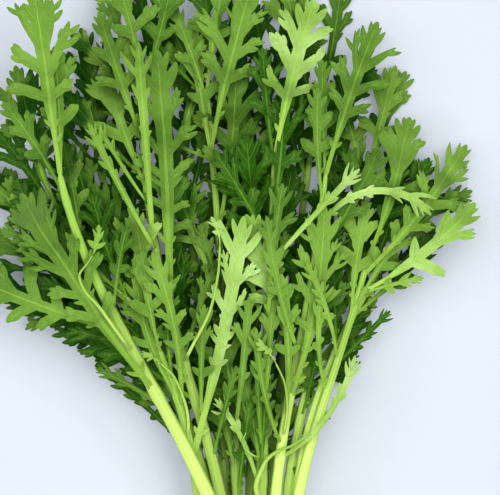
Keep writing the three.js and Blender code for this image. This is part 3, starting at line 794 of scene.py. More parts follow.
def side_fingers(leaf, side, draw):
    """The fingers along one side of a leaf, as if it were the right one."""
    long, pairs = leaf["length"], leaf["pairs"]
    slim = slimness(leaf)
    blunt = leaf["blunt"]
    fingers = []
    for at in NUBS:
        if draw() < NUB_CHANCE and leaf["width"] > SMOOTH:
            reach = long * drawn(NUB_LONG, draw) + STALK_HALF * long
            fingers.append(finger((long * at, 0), math.radians(NUB_TURN), reach, NUB_HALF, -0.3))
    step = (LAST_LOBE - FIRST_LOBE) * long / pairs
    for i in range(pairs):
        middle = FIRST_LOBE * long + step * (i + 0.5) + step * LOBE_SHIFT * (draw() - 0.5)
        lean = lean_of(leaf, i) + math.radians(LOBE_TURN) * (draw() - 0.5)
        free = leaf["reach"][side][i] * long * drawn(LOBE_LONG, draw)
        wing = WING_HALF * long * slim
        foot = (middle - wing / math.tan(lean), 0)
        half = min(LOBE_HALF[0] * step * math.sin(lean) + LOBE_HALF[1], LOBE_MOST)
        half = half * slim * drawn(LOBE_WIDE, draw)
        if leaf["width"] < NARROW and i < pairs / 2:
            free *= LOW_LOBES[0 if leaf["width"] > SMOOTH else 1]
        fingers += lobe_fingers(foot, lean, free, free + wing / math.sin(lean), half, blunt, draw)
        if i and draw() < TOOTH_CHANCE:
            gap = (middle - 0.5 * step, 0)
            reach = wing / math.sin(lean) + 0.05 * long * draw() + 1
            fingers.append(finger(gap, lean, reach, TOOTH_HALF, 0.2))
    end = (long * drawn(END_PLACE, draw), 0)
    turn = math.radians(drawn(END_TURN, draw))
    fingers.append(finger(end, turn, long * drawn(END_LONG, draw), long * END_HALF * slim, -0.3, blunt))
    prong = (long * drawn(PRONG_PLACE, draw), 0)
    turn = math.radians(drawn(PRONG_TURN, draw))
    fingers.append(finger(prong, turn, long * PRONG_LONG, long * PRONG_HALF * slim, -0.2, blunt))
    return fingers


def middle_of(leaf, draw):
    """The outline of a leaf's middle, from its stalk to its end lobe."""
    long = leaf["length"]
    stalk, wing = STALK_HALF, WING_HALF * slimness(leaf)
    halves = [
        (0, stalk), (0.1, 0.9 * stalk), (0.24, stalk), (FIRST_LOBE, 0.7 * wing + 0.3 * stalk), (0.46, wing),
        (0.6, 1.05 * wing), (0.74, 1.2 * wing), (0.84, 1.35 * wing), (0.92, 1.1 * wing), (0.98, 0.6 * wing),
        (1.0, 0.2 * wing),
    ]
    sides = [[(s * long, side * t * long * (0.9 + 0.2 * draw())) for s, t in halves] for side in (-1, 1)]
    return softened(sides[1] + sides[0][::-1])


def distances(points, starts, ends):
    """How far each point is from the nearest of some straight lines."""
    runs = ends - starts
    sizes = np.maximum((runs**2).sum(1), 1e-9)
    nearest = np.full(len(points), 1e9)
    for start, run, size in zip(starts, runs, sizes):
        share = np.clip(((points - start) @ run) / size, 0, 1)
        gaps = points - start - share[:, None] * run
        nearest = np.minimum(nearest, (gaps**2).sum(1))
    return np.sqrt(nearest)


def inside(points, outline):
    """Which points lie within a closed outline."""
    found = np.zeros(len(points), dtype=bool)
    x, y = points.T
    for (ax, ay), (bx, by) in zip(outline, np.roll(outline, -1, axis=0)):
        if ay != by:
            found ^= ((ay > y) != (by > y)) & (x < (bx - ax) * (y - ay) / (by - ay) + ax)
    return found


def within(points, outlines):
    """Which points lie within any of some outlines."""
    found = np.zeros(len(points), dtype=bool)
    for outline in outlines:
        low, high = outline.min(axis=0), outline.max(axis=0)
        near = np.all((points > low) & (points < high), axis=1)
        found[near] |= inside(points[near], outline)
    return found


def ridge_half(leaf, s):
    return RIDGE * STALK_HALF * leaf["length"] * (1 - 0.97 * np.clip(s / leaf["length"], 0, 1)) ** 0.7


def leaf_height(leaf, s, t):
    if "rib" in leaf:
        return np.interp(s, *leaf["rib"]) + leaf_form(leaf, s, t)
    return leaf["z"] + leaf_form(leaf, s, t) + leaf_shapes(leaf, s, t) @ leaf["laid"]


def lobe_ends(leaf, side, s):
    """How far from the rib the plain lobes of one side end, between one lobe's end and the next."""
    step = (LAST_LOBE - FIRST_LOBE) / leaf["pairs"]
    ends = []
    for i, reach in enumerate(leaf["reach"][side]):
        lean = lean_of(leaf, i)
        middle = FIRST_LOBE + step * (i + 0.5)
        ends.append((middle + reach * math.cos(lean), WING_HALF + reach * math.sin(lean)))
    along, across = np.array(ends).T * leaf["length"]
    return np.interp(s, along, across)


def fine_leaf(leaf, seed):
    """The points, faces and surface values of a finished leaf."""
    draw = draws(seed)
    long = leaf["length"]
    leaf["blunt"] = draw()
    outlines = [middle_of(leaf, draw)]
    veins = []
    for side, sign in ((1, 1), (0, -1)):
        for outline, vein in side_fingers(leaf, side, draw):
            outlines.append(outline * (1, sign))
            veins += [np.array([a, b]) * (1, sign) for a, b in zip(vein, vein[1:])]
    veins = np.array(veins)
    starts = np.concatenate(outlines)
    ends = np.concatenate([np.roll(outline, -1, axis=0) for outline in outlines])

    # Inner points: an even scatter, kept off the edges, the rib and the veins
    rows = np.arange(0, long, GRAIN * 0.87)
    reach = np.abs(starts[:, 1]).max()
    across = np.arange(-reach, reach, GRAIN)
    scatter = np.array([(s, t + (i % 2) * GRAIN / 2) for i, s in enumerate(rows) for t in across])
    scatter = scatter[within(scatter, outlines)]
    rib_far = np.abs(scatter[:, 1]) > ridge_half(leaf, scatter[:, 0]) + KEPT_OFF
    edge_far = distances(scatter, starts, ends) > KEPT_OFF
    vein_far = distances(scatter, veins[:, 0], veins[:, 1]) > KEPT_OFF
    scatter = scatter[rib_far & edge_far & vein_far]

    points = [Vector(p) for p in starts]
    firsts = np.cumsum([0] + [len(outline) for outline in outlines])
    rings = [list(range(a, b)) for a, b in zip(firsts, firsts[1:])]
    lines = []

    def trace(path):
        for k, p in enumerate(path):
            points.append(Vector(p))
            if k:
                lines.append((len(points) - 2, len(points) - 1))

    stations = np.linspace(0.6, 0.95 * long, max(8, int(long / TRACED)))
    for share in RIDGE_LINES:
        trace([(s, share * ridge_half(leaf, s)) for s in stations])
    for a, b in veins:
        steps = max(2, int(np.hypot(*(b - a)) / TRACED))
        trace([a + (b - a) * k / steps for k in range(steps + 1)])
    points += [Vector(p) for p in scatter]
    found = delaunay_2d_cdt(points, lines, rings, 1, 1e-3, True)
    flat = np.array([tuple(p) for p in found[0]])
    # The faces of the plan run anticlockwise in (s, t), which is clockwise in (x, y)
    faces = np.array(found[2])[:, ::-1]
    faces = faces[within(flat[faces].mean(axis=1), outlines)]
    used = np.unique(faces)
    renumbered = np.zeros(len(flat), dtype=int)
    renumbered[used] = np.arange(len(used))
    flat, faces = flat[used], renumbered[faces]
    n = len(flat)
    sides = np.concatenate([faces[:, [0, 1]], faces[:, [1, 2]], faces[:, [2, 0]]])
    codes = sides[:, 0] * n + sides[:, 1]
    rim = sides[~np.isin(codes, sides[:, 1] * n + sides[:, 0])]

    s, t = flat.T
    x, y = leaf_plan(leaf, s, t)
    # Past the end of the plain blade's lobe a finger runs on level
    held = np.clip(t, -lobe_ends(leaf, 0, s), lobe_ends(leaf, 1, s))
    z = leaf_height(leaf, s, held)
    z = np.minimum(z, leaf_height(leaf, *leaf_net(leaf)[0][:, :2].T).max())
    vein = distances(flat, veins[:, 0], veins[:, 1])
    rib = np.abs(t) / ridge_half(leaf, s)
    margin = distances(flat, flat[rim[:, 0]], flat[rim[:, 1]])
    crisp = np.exp(-margin / CRISP_IN) * np.minimum(np.abs(t) / 6, 1)
    z += CRISP * crisp * np.sin(0.9 * s + 0.8 * np.abs(t) + leaf["phase"])
    z -= VEIN_SINK * np.exp(-np.minimum(vein, np.abs(t)) / SINK_WIDE) * (1 - crisp)
    # A finger that would reach below the table lies on it
    z = np.maximum(z, BLADE_HALF + OFF_TABLE)
    ridge = np.sqrt(np.clip(1 - rib**2, 0, 1)) * ridge_half(leaf, s)
    top = z + BLADE_HALF + RIDGE_TOP * ridge
    under = np.maximum(z - BLADE_HALF - RIDGE_UNDER * ridge, 0.5 * OFF_TABLE)

    corners = np.concatenate([np.column_stack([x, y, top]), np.column_stack([x, y, under])])
    a, b = rim.T
    walls = [np.column_stack([b, a, a + n]), np.column_stack([b, a + n, b + n])]
    return {
        "corners": corners, "triangles": np.concatenate([faces, faces[:, ::-1] + n, *walls]),
        "vein": np.tile(vein, 2), "rib": np.tile(np.minimum(rib, 20), 2),
        "under": np.repeat([0.0, 1.0], n), "along": np.tile(s / long, 2),
        "across": np.tile(t, 2), "run": np.tile(s, 2), "tone": np.full(2 * n, leaf["tone"]),
        "deep": depth_below(*corners.T),
    }


def foliage(name, leaves, finish):
    """One mesh of many finished leaves."""
    corners = np.concatenate([leaf["corners"] for leaf in leaves]) * MM
    starts = np.cumsum([0] + [len(leaf["corners"]) for leaf in leaves[:-1]])
    triangles = np.concatenate([leaf["triangles"] + start for leaf, start in zip(leaves, starts)])
    mesh = bpy.data.meshes.new(name)
    mesh.from_pydata(corners.tolist(), [], triangles.tolist())
    for key in ("vein", "rib", "under", "along", "tone", "deep"):
        values = np.concatenate([leaf[key] for leaf in leaves])
        mesh.attributes.new(key, "FLOAT", "POINT").data.foreach_set("value", values.astype(np.float32))
    layer = mesh.uv_layers.new(name="blade")
    plan = np.column_stack([np.concatenate([leaf[key] for leaf in leaves]) for key in ("across", "run")])
    shift = np.concatenate([np.full(len(leaf["corners"]), 40.0 * k) for k, leaf in enumerate(leaves)])
    plan[:, 0] += shift
    loops = np.zeros(len(mesh.loops), dtype=np.int32)
    mesh.loops.foreach_get("vertex_index", loops)
    layer.data.foreach_set("uv", (plan[loops] * 0.01).astype(np.float32).ravel())
    mesh.shade_smooth()
    mesh.set_sharp_from_angle(angle=math.radians(55))
    mesh.materials.append(finish)
    piece = bpy.data.objects.new(name, mesh)
    bpy.context.scene.collection.objects.link(piece)
    return piece


def blurred(heights, reach):
    """The pile's heights evened out over some cells each way."""
    grid = np.pad(heights.reshape(ROWS, COLUMNS), reach, mode="edge")
    for axis in (0, 1):
        total = np.cumsum(grid, axis=axis)
        grid = (np.roll(total, -reach, axis) - np.roll(total, reach + 1, axis)) / (2 * reach + 1)
    return grid[reach:-reach, reach:-reach].ravel()


def depth_below(x, y, z):
    """How deep points lie in the pile, from 0 at its top to 1 far below it. The finishes darken with it as
    painted shade.
    """
    return np.clip((tops[cell_at(x, y)] - z - NEAR_TOP) / DEEP, 0, 1)


def filled_room(stems):
    """Which cells of a grid in three directions hold something."""
    room = np.zeros((LAYERS, ROWS * COLUMNS), dtype=bool)
    for stem in stems:
        for leaf in stem["fine"]:
            corners = leaf["corners"]
            for points in (corners, corners[leaf["triangles"]].mean(axis=1)):
                room[points[:, 2].astype(int), cell_at(points[:, 0], points[:, 1])] = True
        for u in np.linspace(0, 1, 240):
            p = stem_at(stem, u)
            for across in np.linspace(-p["radius"], p["radius"], 7):
                half = math.sqrt(p["radius"] ** 2 - across**2)
                middle = stem_height(stem, p)
                cell = cell_at(p["x"] + across * p["runs"][1], p["y"] - across * p["runs"][0])
                room[max(0, int(middle - half)):int(middle + half) + 1, cell] = True
    return room


def inner_band(long):
    """Places spread over a small leaf, on the rib and out to the ends of its lobes, and how far the
    leaf has risen there."""
    places = []
    for s in np.arange(INNER_ROOT, long, CELL):
        share = max(0, (s / long - 0.3) / 0.7)
        half = long * (0.025 + 0.1 * math.sin(math.pi * share**0.8))
        count = max(1, round(half / CELL))
        places += [(s, half * k / count) for k in range(-count, count + 1)]
    s, t = np.array(places).T
    return s, t, leaf_shapes({"length": long, "pairs": 2}, s, t)[:, 3:7] @ rises_at(2) * long


def rises_at(pairs):
    """How far along a leaf each of its joints is."""
    step = (LAST_LOBE - FIRST_LOBE) / pairs
    return np.array([FIRST_LOBE + step * k for k in range(pairs + 1)] + [1.0])


def inner_tries(stems, bands, room):
    """Every inner leaf that has free room, with the cells and the layers that it would be in."""
    most = max(len(s) for s, _, _ in bands.values())
    for stem in stems:
        lowest = max(stem["first"] - 0.25, 0.2)
        for place in np.linspace(lowest, 0.98, INNER_PLACES):
            root = stem_at(stem, place)
            top = stem_height(stem, root)
            straight = math.degrees(math.atan2(*root["runs"]))
            for turn in INNER_TURNS:
                for long, (s, t, risen) in bands.items():
                    bend = -0.3 * turn
                    x, y = leaf_plan({
                        "x": root["x"], "y": root["y"], "heading": math.radians(straight + turn),
                        "bend": math.radians(bend) / long,
                    }, s, t)
                    cells = np.full(most, ROWS * COLUMNS)
                    cells[:len(s)] = cell_at(x, y)
                    for rise in INNER_RISES:
                        z = top + rise * risen
                        if z.min() < 1 or (z > tops[cells[:len(s)]]).mean() > ABOVE:
                            continue
                        layers = np.zeros(most, dtype=int)
                        layers[:len(s)] = z.astype(int)
                        if not room[layers[:len(s)], cells[:len(s)]].any():
                            yield (stem, place, straight + turn, long, bend, rise), cells, layers


def grow_inner_leaves(stems):
    """Adds leaves inside the bunch, each time the one that covers most of the bare table."""
    room = filled_room(stems)
    bare = ~room.any(axis=0)
    inside = blurred(1.0 - bare, 6) > CLOSED
    wanted = np.append(bare & inside, False).astype(int)
    stray = np.append(bare & ~inside, False)
    # A leaf keeps a layer's distance from what is above and below it
    room = room | np.roll(room, 1, 0) | np.roll(room, -1, 0)
    bands = {long: inner_band(long) for long in INNER_LONG}
    tries = [one for one in inner_tries(stems, bands, room) if stray[one[1]].mean() < STRAYING]
    cells = np.array([one[1] for one in tries])
    free = np.ones(len(tries), dtype=bool)
    count = 0
    while count < INNER_MOST:
        gains = np.where(free, wanted[cells].sum(axis=1), 0)
        best = int(np.argmax(gains))
        if gains[best] < INNER_LEAST:
            break
        free[best] = False
        (stem, place, heading, long, bend, rise), _, layers = tries[best]
        used = cells[best] < ROWS * COLUMNS
        at, layer = cells[best][used], layers[used]
        if room[layer, at].any():
            continue
        draw = draws(INNER_GROWTH + count)
        leaf = leaf_of(stem, (place, heading, long, bend, INNER_WIDE), draw)
        leaf["fold"], leaf["ruffle"] = 0.01, 0.3
        leaf["laid"] = np.concatenate([[0, 0, 0], rise * long * rises_at(2), np.zeros(4)])
        leaf["tone"] = drawn(INNER_TONE, draw)
        stem["fine"].append(fine_leaf(leaf, INNER_SEED + count))
        wanted[at] = 0
        for above in (-1, 0, 1, 2):
            room[np.clip(layer + above, 0, LAYERS - 1), at] = True
        count += 1


class Wire:
    """An output of a shader node that is reckoned with as a number."""

    def __init__(self, finish, socket):
        self.finish = finish
        self.socket = socket

    def _reckon(self, operation, *values):
        return self.finish.node("ShaderNodeMath", {"operation": operation}, *values)

    def __add__(self, other):
        return self._reckon("ADD", self, other)

    def __sub__(self, other):
        return self._reckon("SUBTRACT", self, other)

    def __rsub__(self, other):
        return self._reckon("SUBTRACT", other, self)

    def __mul__(self, other):
        return self._reckon("MULTIPLY", self, other)

    __radd__ = __add__
    __rmul__ = __mul__

    def wave(self):
        return self._reckon("SINE", self)

    def ramp(self, low, high):
        """Smooth step from 0 to 1 as this value goes from low to high."""
        return self.finish.node("ShaderNodeMapRange", {"interpolation_type": "SMOOTHSTEP"}, self, low, high)


class Finish:
    """A material that is built node by node."""

    def __init__(self, name, **plain):
        self.material = bpy.data.materials.new(name)
        self.material.use_nodes = True
        self.tree = self.material.node_tree
        self.skin = next(node for node in self.tree.nodes if node.type == "BSDF_PRINCIPLED")
        for socket, value in plain.items():
            self.skin.inputs[socket.replace("_", " ")].default_value = value

    def node(self, kind, settings, *values, output=0, **named):
        """A node with its settings, and its sockets' values or links in order or by name."""
        made = self.tree.nodes.new(kind)
        for setting, value in settings.items():
            setattr(made, setting, value)
        sockets = [socket for socket in made.inputs if socket.enabled]
        for socket, value in zip(sockets, values):
            self.join(socket, value)
        for name, value in named.items():
            self.join(next(s for s in sockets if s.name == name), value)
        enabled = [socket for socket in made.outputs if socket.enabled]
        return Wire(self, enabled[output])

    def join(self, socket, value):
        if isinstance(value, Wire):
            self.tree.links.new(value.socket, socket)
        elif hasattr(socket.default_value, "__len__") and len(socket.default_value) == 4:
            socket.default_value = (*value, 1.0)
        else:
            socket.default_value = value

    def into(self, socket, value):
        self.join(self.skin.inputs[socket], value)

    def reading(self, name):
        return self.node("ShaderNodeAttribute", {"attribute_name": name}, output=2)

    def place(self):
        return self.node("ShaderNodeTexCoord", {}, output=3)

    def noise(self, where, scale, detail):
        return self.node("ShaderNodeTexNoise", {}, where, Scale=scale, Detail=detail)

    def mix(self, share, first, second):
        return self.node("ShaderNodeMix", {"data_type": "RGBA"}, share, first, second)

    def bump(self, height, distance, strength=1.0):
        bumps = self.node("ShaderNodeBump", {}, Height=height, Distance=distance, Strength=strength)
        self.into("Normal", bumps)


def leaf_finish():
    finish = Finish(
        "leaf green", Roughness=0.5, Subsurface_Weight=0.22, Subsurface_Scale=0.0012, IOR=1.42,
        Subsurface_Radius=(0.6, 1.0, 0.25), Specular_IOR_Level=0.1,
    )
    place = finish.place()
    blade = finish.node("ShaderNodeUVMap", {"uv_map": "blade"})
    tone = finish.reading("tone")
    vein, rib, under, along = (finish.reading(name) for name in ("vein", "rib", "under", "along"))
    cloud = finish.noise(place, 38.0, 4.0)
    fleck = finish.noise(place, 260.0, 3.0)
    net = finish.node("ShaderNodeTexVoronoi", {"feature": "DISTANCE_TO_EDGE"}, blade, Scale=62.0)
    net_line = 1 - net.ramp(0.0, 0.09)
    deep = finish.reading("deep")
    # Noise that paints sheen on the blades
    painted_sheen = finish.noise(place, 14.0, 2.0)
    # A leaf's own tone with painted light and shade: the cloud and sheen noises paint lit and shaded
    # patches, and depth in the pile paints shade
    tone_and_painted_light = tone * 1.3 - 0.12 + (cloud - 0.5) * 0.6 + (painted_sheen - 0.5) * 0.8 - deep * 0.35
    green = finish.mix(tone_and_painted_light, SHADED_GREEN, FRESH_AND_LIT_GREEN)
    # Painted highlight: the brightest parts of a blade turn pale
    green = finish.mix(tone_and_painted_light.ramp(0.7, 1.25), green, PAINTED_HIGHLIGHT_GREEN)
    green = finish.mix((fleck - 0.3) * 0.2, green, FLECK_GREEN)
    green = finish.mix(net_line * 0.09, green, NET_GREEN)
    vein_line = 1 - vein.ramp(0.1, 0.42)
    green = finish.mix(vein_line * 0.14, green, VEIN_GREEN)
    rib_band = 1 - rib.ramp(0.75, 1.15)
    pale = finish.mix(tone, DARK_RIB, PALE_RIB)
    green = finish.mix(rib_band * 0.6, green, pale)
    foot = 1 - along.ramp(0.06, 0.34)
    green = finish.mix(foot * 0.7, green, pale)
    green = finish.mix(under * 0.35, green, LEAF_UNDERSIDE)
    # Painted shade: the deeper in the pile, the darker the leaf
    green = finish.mix(deep * 0.7, green, LEAF_PAINTED_SHADE)
    finish.into("Base Color", green)
    finish.into("Roughness", 0.46 + fleck * 0.16 + under * 0.12)
    swell = finish.noise(blade, 8.0, 1.0)
    height = vein_line * -0.5 + net_line * -0.22 + fleck * 0.25 + rib_band * 0.1 + swell * 11.0
    finish.bump(height, 0.0004, 0.8)
    return finish.material


def stalk_finish():
    finish = Finish(
        "stalk green", Roughness=0.42, Subsurface_Weight=0.2, Subsurface_Scale=0.002, IOR=1.42,
        Subsurface_Radius=(0.7, 1.0, 0.3), Specular_IOR_Level=0.45,
    )
    place = finish.place()
    around, along = finish.reading("around"), finish.reading("along")
    cloud = finish.noise(place, 30.0, 3.0)
    streak = finish.node(
        "ShaderNodeTexNoise", {}, finish.node("ShaderNodeCombineXYZ", {}, around * 26.0, along * 2.5, 0.0),
        Scale=1.0, Detail=3.0,
    )
    deep = finish.reading("deep")
    stripe = (around * (2 * math.pi * STALK_RIBS)).wave() * 0.5 + 0.5
    # A stem's paleness: its own colour, with painted light on the brightest stems and painted shade on those
    # in the middle
    low = finish.mix(finish.reading("pale"), DARK_STALK, PALE_STALK)
    green = finish.mix(along.ramp(0.3, 0.8), low, STALK_UP)
    green = finish.mix((1 - stripe) * 0.16, green, GROOVE_GREEN)
    green = finish.mix(streak.ramp(0.45, 0.75) * 0.35, green, STREAK_GREEN)
    green = finish.mix(cloud.ramp(0.5, 0.85) * 0.3, green, CLOUD_GREEN)
    # Painted shade: the deeper in the pile, the darker the stalk
    green = finish.mix(deep * 0.85, green, STALK_PAINTED_SHADE)
    finish.into("Base Color", green)
    finish.into("Roughness", 0.36 + streak * 0.2)
    finish.bump(stripe * 0.2 + streak * 0.5, 0.0004, 0.6)
    return finish.material


def cut_finish():
    finish = Finish("cut pith", Roughness=0.55, Subsurface_Weight=0.3, Subsurface_Scale=0.002)
    grain = finish.noise(finish.place(), 900.0, 2.0)
    finish.into("Base Color", finish.mix(grain, PITH, PITH_GRAIN))
    finish.bump(grain, 0.0003)
    return finish.material


def stalk_tree(skin, pith):
    """Geometry nodes that draw a ribbed stalk along a path, as thick as the path's girth says."""
    tree = bpy.data.node_groups.new("ribbed stalk", "GeometryNodeTree")
    face = tree.interface
    face.new_socket("Path", in_out="INPUT", socket_type="NodeSocketGeometry")
    for name, value in STEM_DRAWN.items():
        kind = "NodeSocketInt" if isinstance(value, int) else "NodeSocketFloat"
        face.new_socket(name, in_out="INPUT", socket_type=kind).default_value = value
    face.new_socket("Stalk", in_out="OUTPUT", socket_type="NodeSocketGeometry")

    def node(kind, values=None, **settings):
        made = tree.nodes.new(kind)
        for setting, value in settings.items():
            setattr(made, setting, value)
        for name, value in (values or {}).items():
            if isinstance(name, str):
                socket = next(s for s in made.inputs if s.enabled and s.name == name)
            else:
                socket = made.inputs[name]
            if isinstance(value, bpy.types.NodeSocket):
                tree.links.new(value, socket)
            else:
                socket.default_value = value
        return made

    entry = node("NodeGroupInput")
    path = node("GeometryNodeMeshToCurve", {"Mesh": entry.outputs["Path"]})
    share = node("GeometryNodeSplineParameter")
    lengthways = node(
        "GeometryNodeStoreNamedAttribute",
        {"Geometry": path.outputs["Curve"], "Name": "along", "Value": share.outputs["Factor"]},
        data_type="FLOAT", domain="POINT",
    )
    ring = node("GeometryNodeCurvePrimitiveCircle", {"Resolution": entry.outputs["Sides"], "Radius": 1.0})
    turn = node("ShaderNodeMath", {0: share.outputs["Factor"], 1: 2 * math.pi}, operation="MULTIPLY")
    turn = node("ShaderNodeMath", {0: turn.outputs[0], 1: entry.outputs["Ribs"]}, operation="MULTIPLY")
    wave = node("ShaderNodeMath", {0: turn.outputs[0]}, operation="SINE")
    deep = node("ShaderNodeMath", {0: wave.outputs[0], 1: entry.outputs["Groove"]}, operation="MULTIPLY")
    deep = node("ShaderNodeMath", {0: deep.outputs[0], 1: entry.outputs["Groove"]}, operation="SUBTRACT")
    spot = node("GeometryNodeInputPosition")
    offset = node(
        "ShaderNodeVectorMath", {0: spot.outputs[0], "Scale": deep.outputs[0]}, operation="SCALE"
    ).outputs[0]
    ribbed = node("GeometryNodeSetPosition", {"Geometry": ring.outputs["Curve"], "Offset": offset})
    section = node(
        "GeometryNodeStoreNamedAttribute",
        {"Geometry": ribbed.outputs["Geometry"], "Name": "around", "Value": share.outputs["Factor"]},
        data_type="FLOAT", domain="POINT",
    )
    girth = node("GeometryNodeInputNamedAttribute", {"Name": "girth"}, data_type="FLOAT")
    tube = node("GeometryNodeCurveToMesh", {
        "Curve": lengthways.outputs["Geometry"], "Profile Curve": section.outputs["Geometry"],
        "Scale": girth.outputs["Attribute"], "Fill Caps": True,
    })
    split = node("ShaderNodeSeparateXYZ", {0: spot.outputs[0]})
    lifted = node("ShaderNodeMath", {0: split.outputs["Z"], 1: 0.0}, operation="MAXIMUM")
    level = node("ShaderNodeCombineXYZ", {
        "X": split.outputs["X"], "Y": split.outputs["Y"], "Z": lifted.outputs[0],
    }).outputs[0]
    rested = node("GeometryNodeSetPosition", {"Geometry": tube.outputs["Mesh"], "Position": level})
    smooth = node("GeometryNodeSetShadeSmooth", {"Geometry": rested.outputs["Geometry"]})
    whole = node("GeometryNodeRealizeInstances", {"Geometry": smooth.outputs["Geometry"]})
    painted = node("GeometryNodeSetMaterial", {"Geometry": whole.outputs["Geometry"], "Material": skin})
    corners = node("GeometryNodeInputMeshFaceNeighbors")
    ends = node("FunctionNodeCompare", {"A": corners.outputs["Vertex Count"], "B": 4},
                data_type="INT", operation="GREATER_THAN")
    cut = node("GeometryNodeSetMaterial", {
        "Geometry": painted.outputs["Geometry"], "Selection": ends.outputs[0], "Material": pith,
    })
    done = node("NodeGroupOutput")
    tree.links.new(cut.outputs["Geometry"], done.inputs["Stalk"])
    return tree


def drawn_stalk(name, points, girths, pale, tree, inputs):
    """A stalk along points, in mm, drawn by the nodes and turned into a plain mesh."""
    mesh = bpy.data.meshes.new(name + " path")
    points = np.array(points)
    mesh.from_pydata((points * MM).tolist(), [(k, k + 1) for k in range(len(points) - 1)], [])
    readings = {
        "girth": np.array(girths, np.float32) * MM, "deep": depth_below(*points.T).astype(np.float32),
        "pale": np.full(len(points), pale, np.float32),
    }
    for key, values in readings.items():
        mesh.attributes.new(key, "FLOAT", "POINT").data.foreach_set("value", values)
    path = bpy.data.objects.new(name + " path", mesh)
    bpy.context.scene.collection.objects.link(path)
    drawing = path.modifiers.new("stalk", "NODES")
    drawing.node_group = tree
    for socket in tree.interface.items_tree:
        if socket.name in inputs:
            drawing[socket.identifier] = inputs[socket.name]
    bpy.context.view_layer.update()
    shape = path.evaluated_get(bpy.context.evaluated_depsgraph_get())
    solid = bpy.data.meshes.new_from_object(shape)
    solid.name = name
    path.modifiers.remove(drawing)
    bpy.data.objects.remove(path)
    piece = bpy.data.objects.new(name, solid)
    bpy.context.scene.collection.objects.link(piece)
    return piece


def stem_path(stem):
    """A stem's middle line and thickness, swollen a little where its leaves grow."""
    points, girths = [], []
    joints = [leaf["place"] for leaf in stem["grown"]]
    for u in np.linspace(0, 1, STALK_RINGS):
        p = stem_at(stem, u)
        swell = sum(math.exp(-(((u - joint) / JOINT_WIDE) ** 2)) for joint in joints)
        points.append((p["x"], p["y"], stem_height(stem, p)))
        tapered = float(np.interp(u, *STALK_END))
        girths.append(p["radius"] * (1 + JOINT_SWELL * min(swell, 1)) * tapered)
    return points, girths


def light(name, place, aim, size, watts, tint):
    lamp = bpy.data.lights.new(name, "AREA")
    lamp.energy = watts
    lamp.size = size
    lamp.color = tint
    body = bpy.data.objects.new(name, lamp)
    body.location = place
    body.rotation_euler = (Vector(aim) - Vector(place)).to_track_quat("-Z", "Y").to_euler()
    bpy.context.scene.collection.objects.link(body)


def studio():
    """Floor, lights and camera. The camera sees the part of the bunch that the photo shows."""
    scene = bpy.context.scene
    paper = Finish(
        "pale floor", Roughness=0.9, Specular_IOR_Level=0.0, Emission_Color=(0.83, 0.89, 1.0, 1.0),
        Emission_Strength=0.12,
    )
    grain = paper.noise(paper.place(), 300.0, 2.0)
    paper.into("Base Color", paper.mix(grain, PAPER, PAPER_GRAIN))
    mesh = bpy.data.meshes.new("floor")
    mesh.from_pydata([(-3, -3, 0), (3, -3, 0), (3, 3, 0), (-3, 3, 0)], [], [(0, 1, 2, 3)])
    mesh.materials.append(paper.material)
    floor = bpy.data.objects.new("floor", mesh)
    floor.location.z = solid_bounds[0][2] - 0.0003
    scene.collection.objects.link(floor)

    for name, values in LIGHTS.items():
        light(name, *values)
    world = bpy.data.worlds.new("room")
    world.use_nodes = True
    world.node_tree.nodes["Background"].inputs["Color"].default_value = (0.9, 1.0, 0.86, 1.0)
    world.node_tree.nodes["Background"].inputs["Strength"].default_value = 0.08
    scene.world = world
    scene.view_settings.view_transform = "Standard"

    lens = bpy.data.cameras.new("camera")
    lens.sensor_width = 36
    lens.lens = 36 * CAMERA_FAR / FRAME_WIDE
    lens.clip_end = 10
    camera = bpy.data.objects.new("camera", lens)
    camera.location = (0, FRAME_MIDDLE, PILE_MIDDLE + CAMERA_FAR)
    scene.collection.objects.link(camera)
    scene.camera = camera


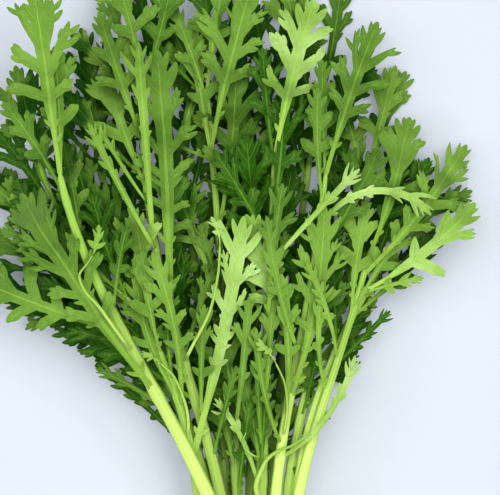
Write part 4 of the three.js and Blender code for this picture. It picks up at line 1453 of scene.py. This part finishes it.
def finish_leaves(order, stem):
    """Gives a stem's leaves their tones and their finished shapes."""
    draw = draws(TONE_SEED + order)
    level = order / (len(STEMS) - 1)
    seed = EACH_STEM * order
    for k, leaf in enumerate(stem["grown"]):
        # Stems laid lower in the pile get lower tones: painted shade, over a random tone of each leaf
        leaf["tone"] = 0.04 + 0.36 * level + 0.6 * (draw() - 0.5)
        own = k - (len(stem["grown"]) - len(stem["own"]))
        if own >= 0:
            leaf["tone"] = TONES.get(stem["name"], [OTHER_TONE] * 4)[own]
    stem["fine"] = [fine_leaf(leaf, LEAF_SEED + seed + k) for k, leaf in enumerate(stem["grown"])]
    stem["fine"] += [fine_leaf(leaf, OVER_SEED + seed + k) for k, leaf in enumerate(stem["over"])]


def young_leaf(stem, path, length, k):
    """The young leaf at the end of a thin stalk."""
    runs = path[-1] - path[-3]
    heading = math.degrees(math.atan2(runs[0], runs[1]))
    leaf = leaf_of(stem, (1, heading, length, -40, 1), draws(YOUNG_GROWTH + k))
    leaf["x"], leaf["y"], leaf["z"] = path[-1]
    leaf["rib"] = [0, length], [path[-1][2], path[-1][2] + 1.5]
    leaf["ruffle"] = 0.5
    leaf["tone"] = 0.7
    return fine_leaf(leaf, YOUNG_SEED + k)


bunch = lay_bunch()
lay_top_leaves(bunch)
stem_called = {stem["name"]: stem for stem in bunch}
runners = {
    name: lay_runner(stem_called[grows_on], place, radii, route)
    for name, (grows_on, place, radii, route, _) in RUNNERS.items()
}
tops = blurred(pile, EVENED)
leaf_green = leaf_finish()
stalks = stalk_tree(stalk_finish(), cut_finish())

for order, stem in enumerate(bunch):
    finish_leaves(order, stem)
for k, (name, (grows_on, _, _, _, young)) in enumerate(RUNNERS.items()):
    if young:
        stem = stem_called[grows_on]
        stem["fine"].append(young_leaf(stem, runners[name][0], young, k))
grow_inner_leaves(bunch)

for stem in bunch:
    leaves = foliage(stem["name"] + "_leaves", stem["fine"], leaf_green)
    points, girths = stem_path(stem)
    stalk = drawn_stalk(stem["name"] + "_stalk", points, girths, STEM_PALENESS_AND_LIGHT[stem["name"]], stalks, STEM_DRAWN)
    thin = [
        drawn_stalk(name, *runners[name], THIN_PALE, stalks, THIN_DRAWN)
        for name, values in RUNNERS.items() if values[0] == stem["name"]
    ]
    for piece in (leaves, stalk, *thin):
        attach(piece, "root")
        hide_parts(stem["name"])

studio()
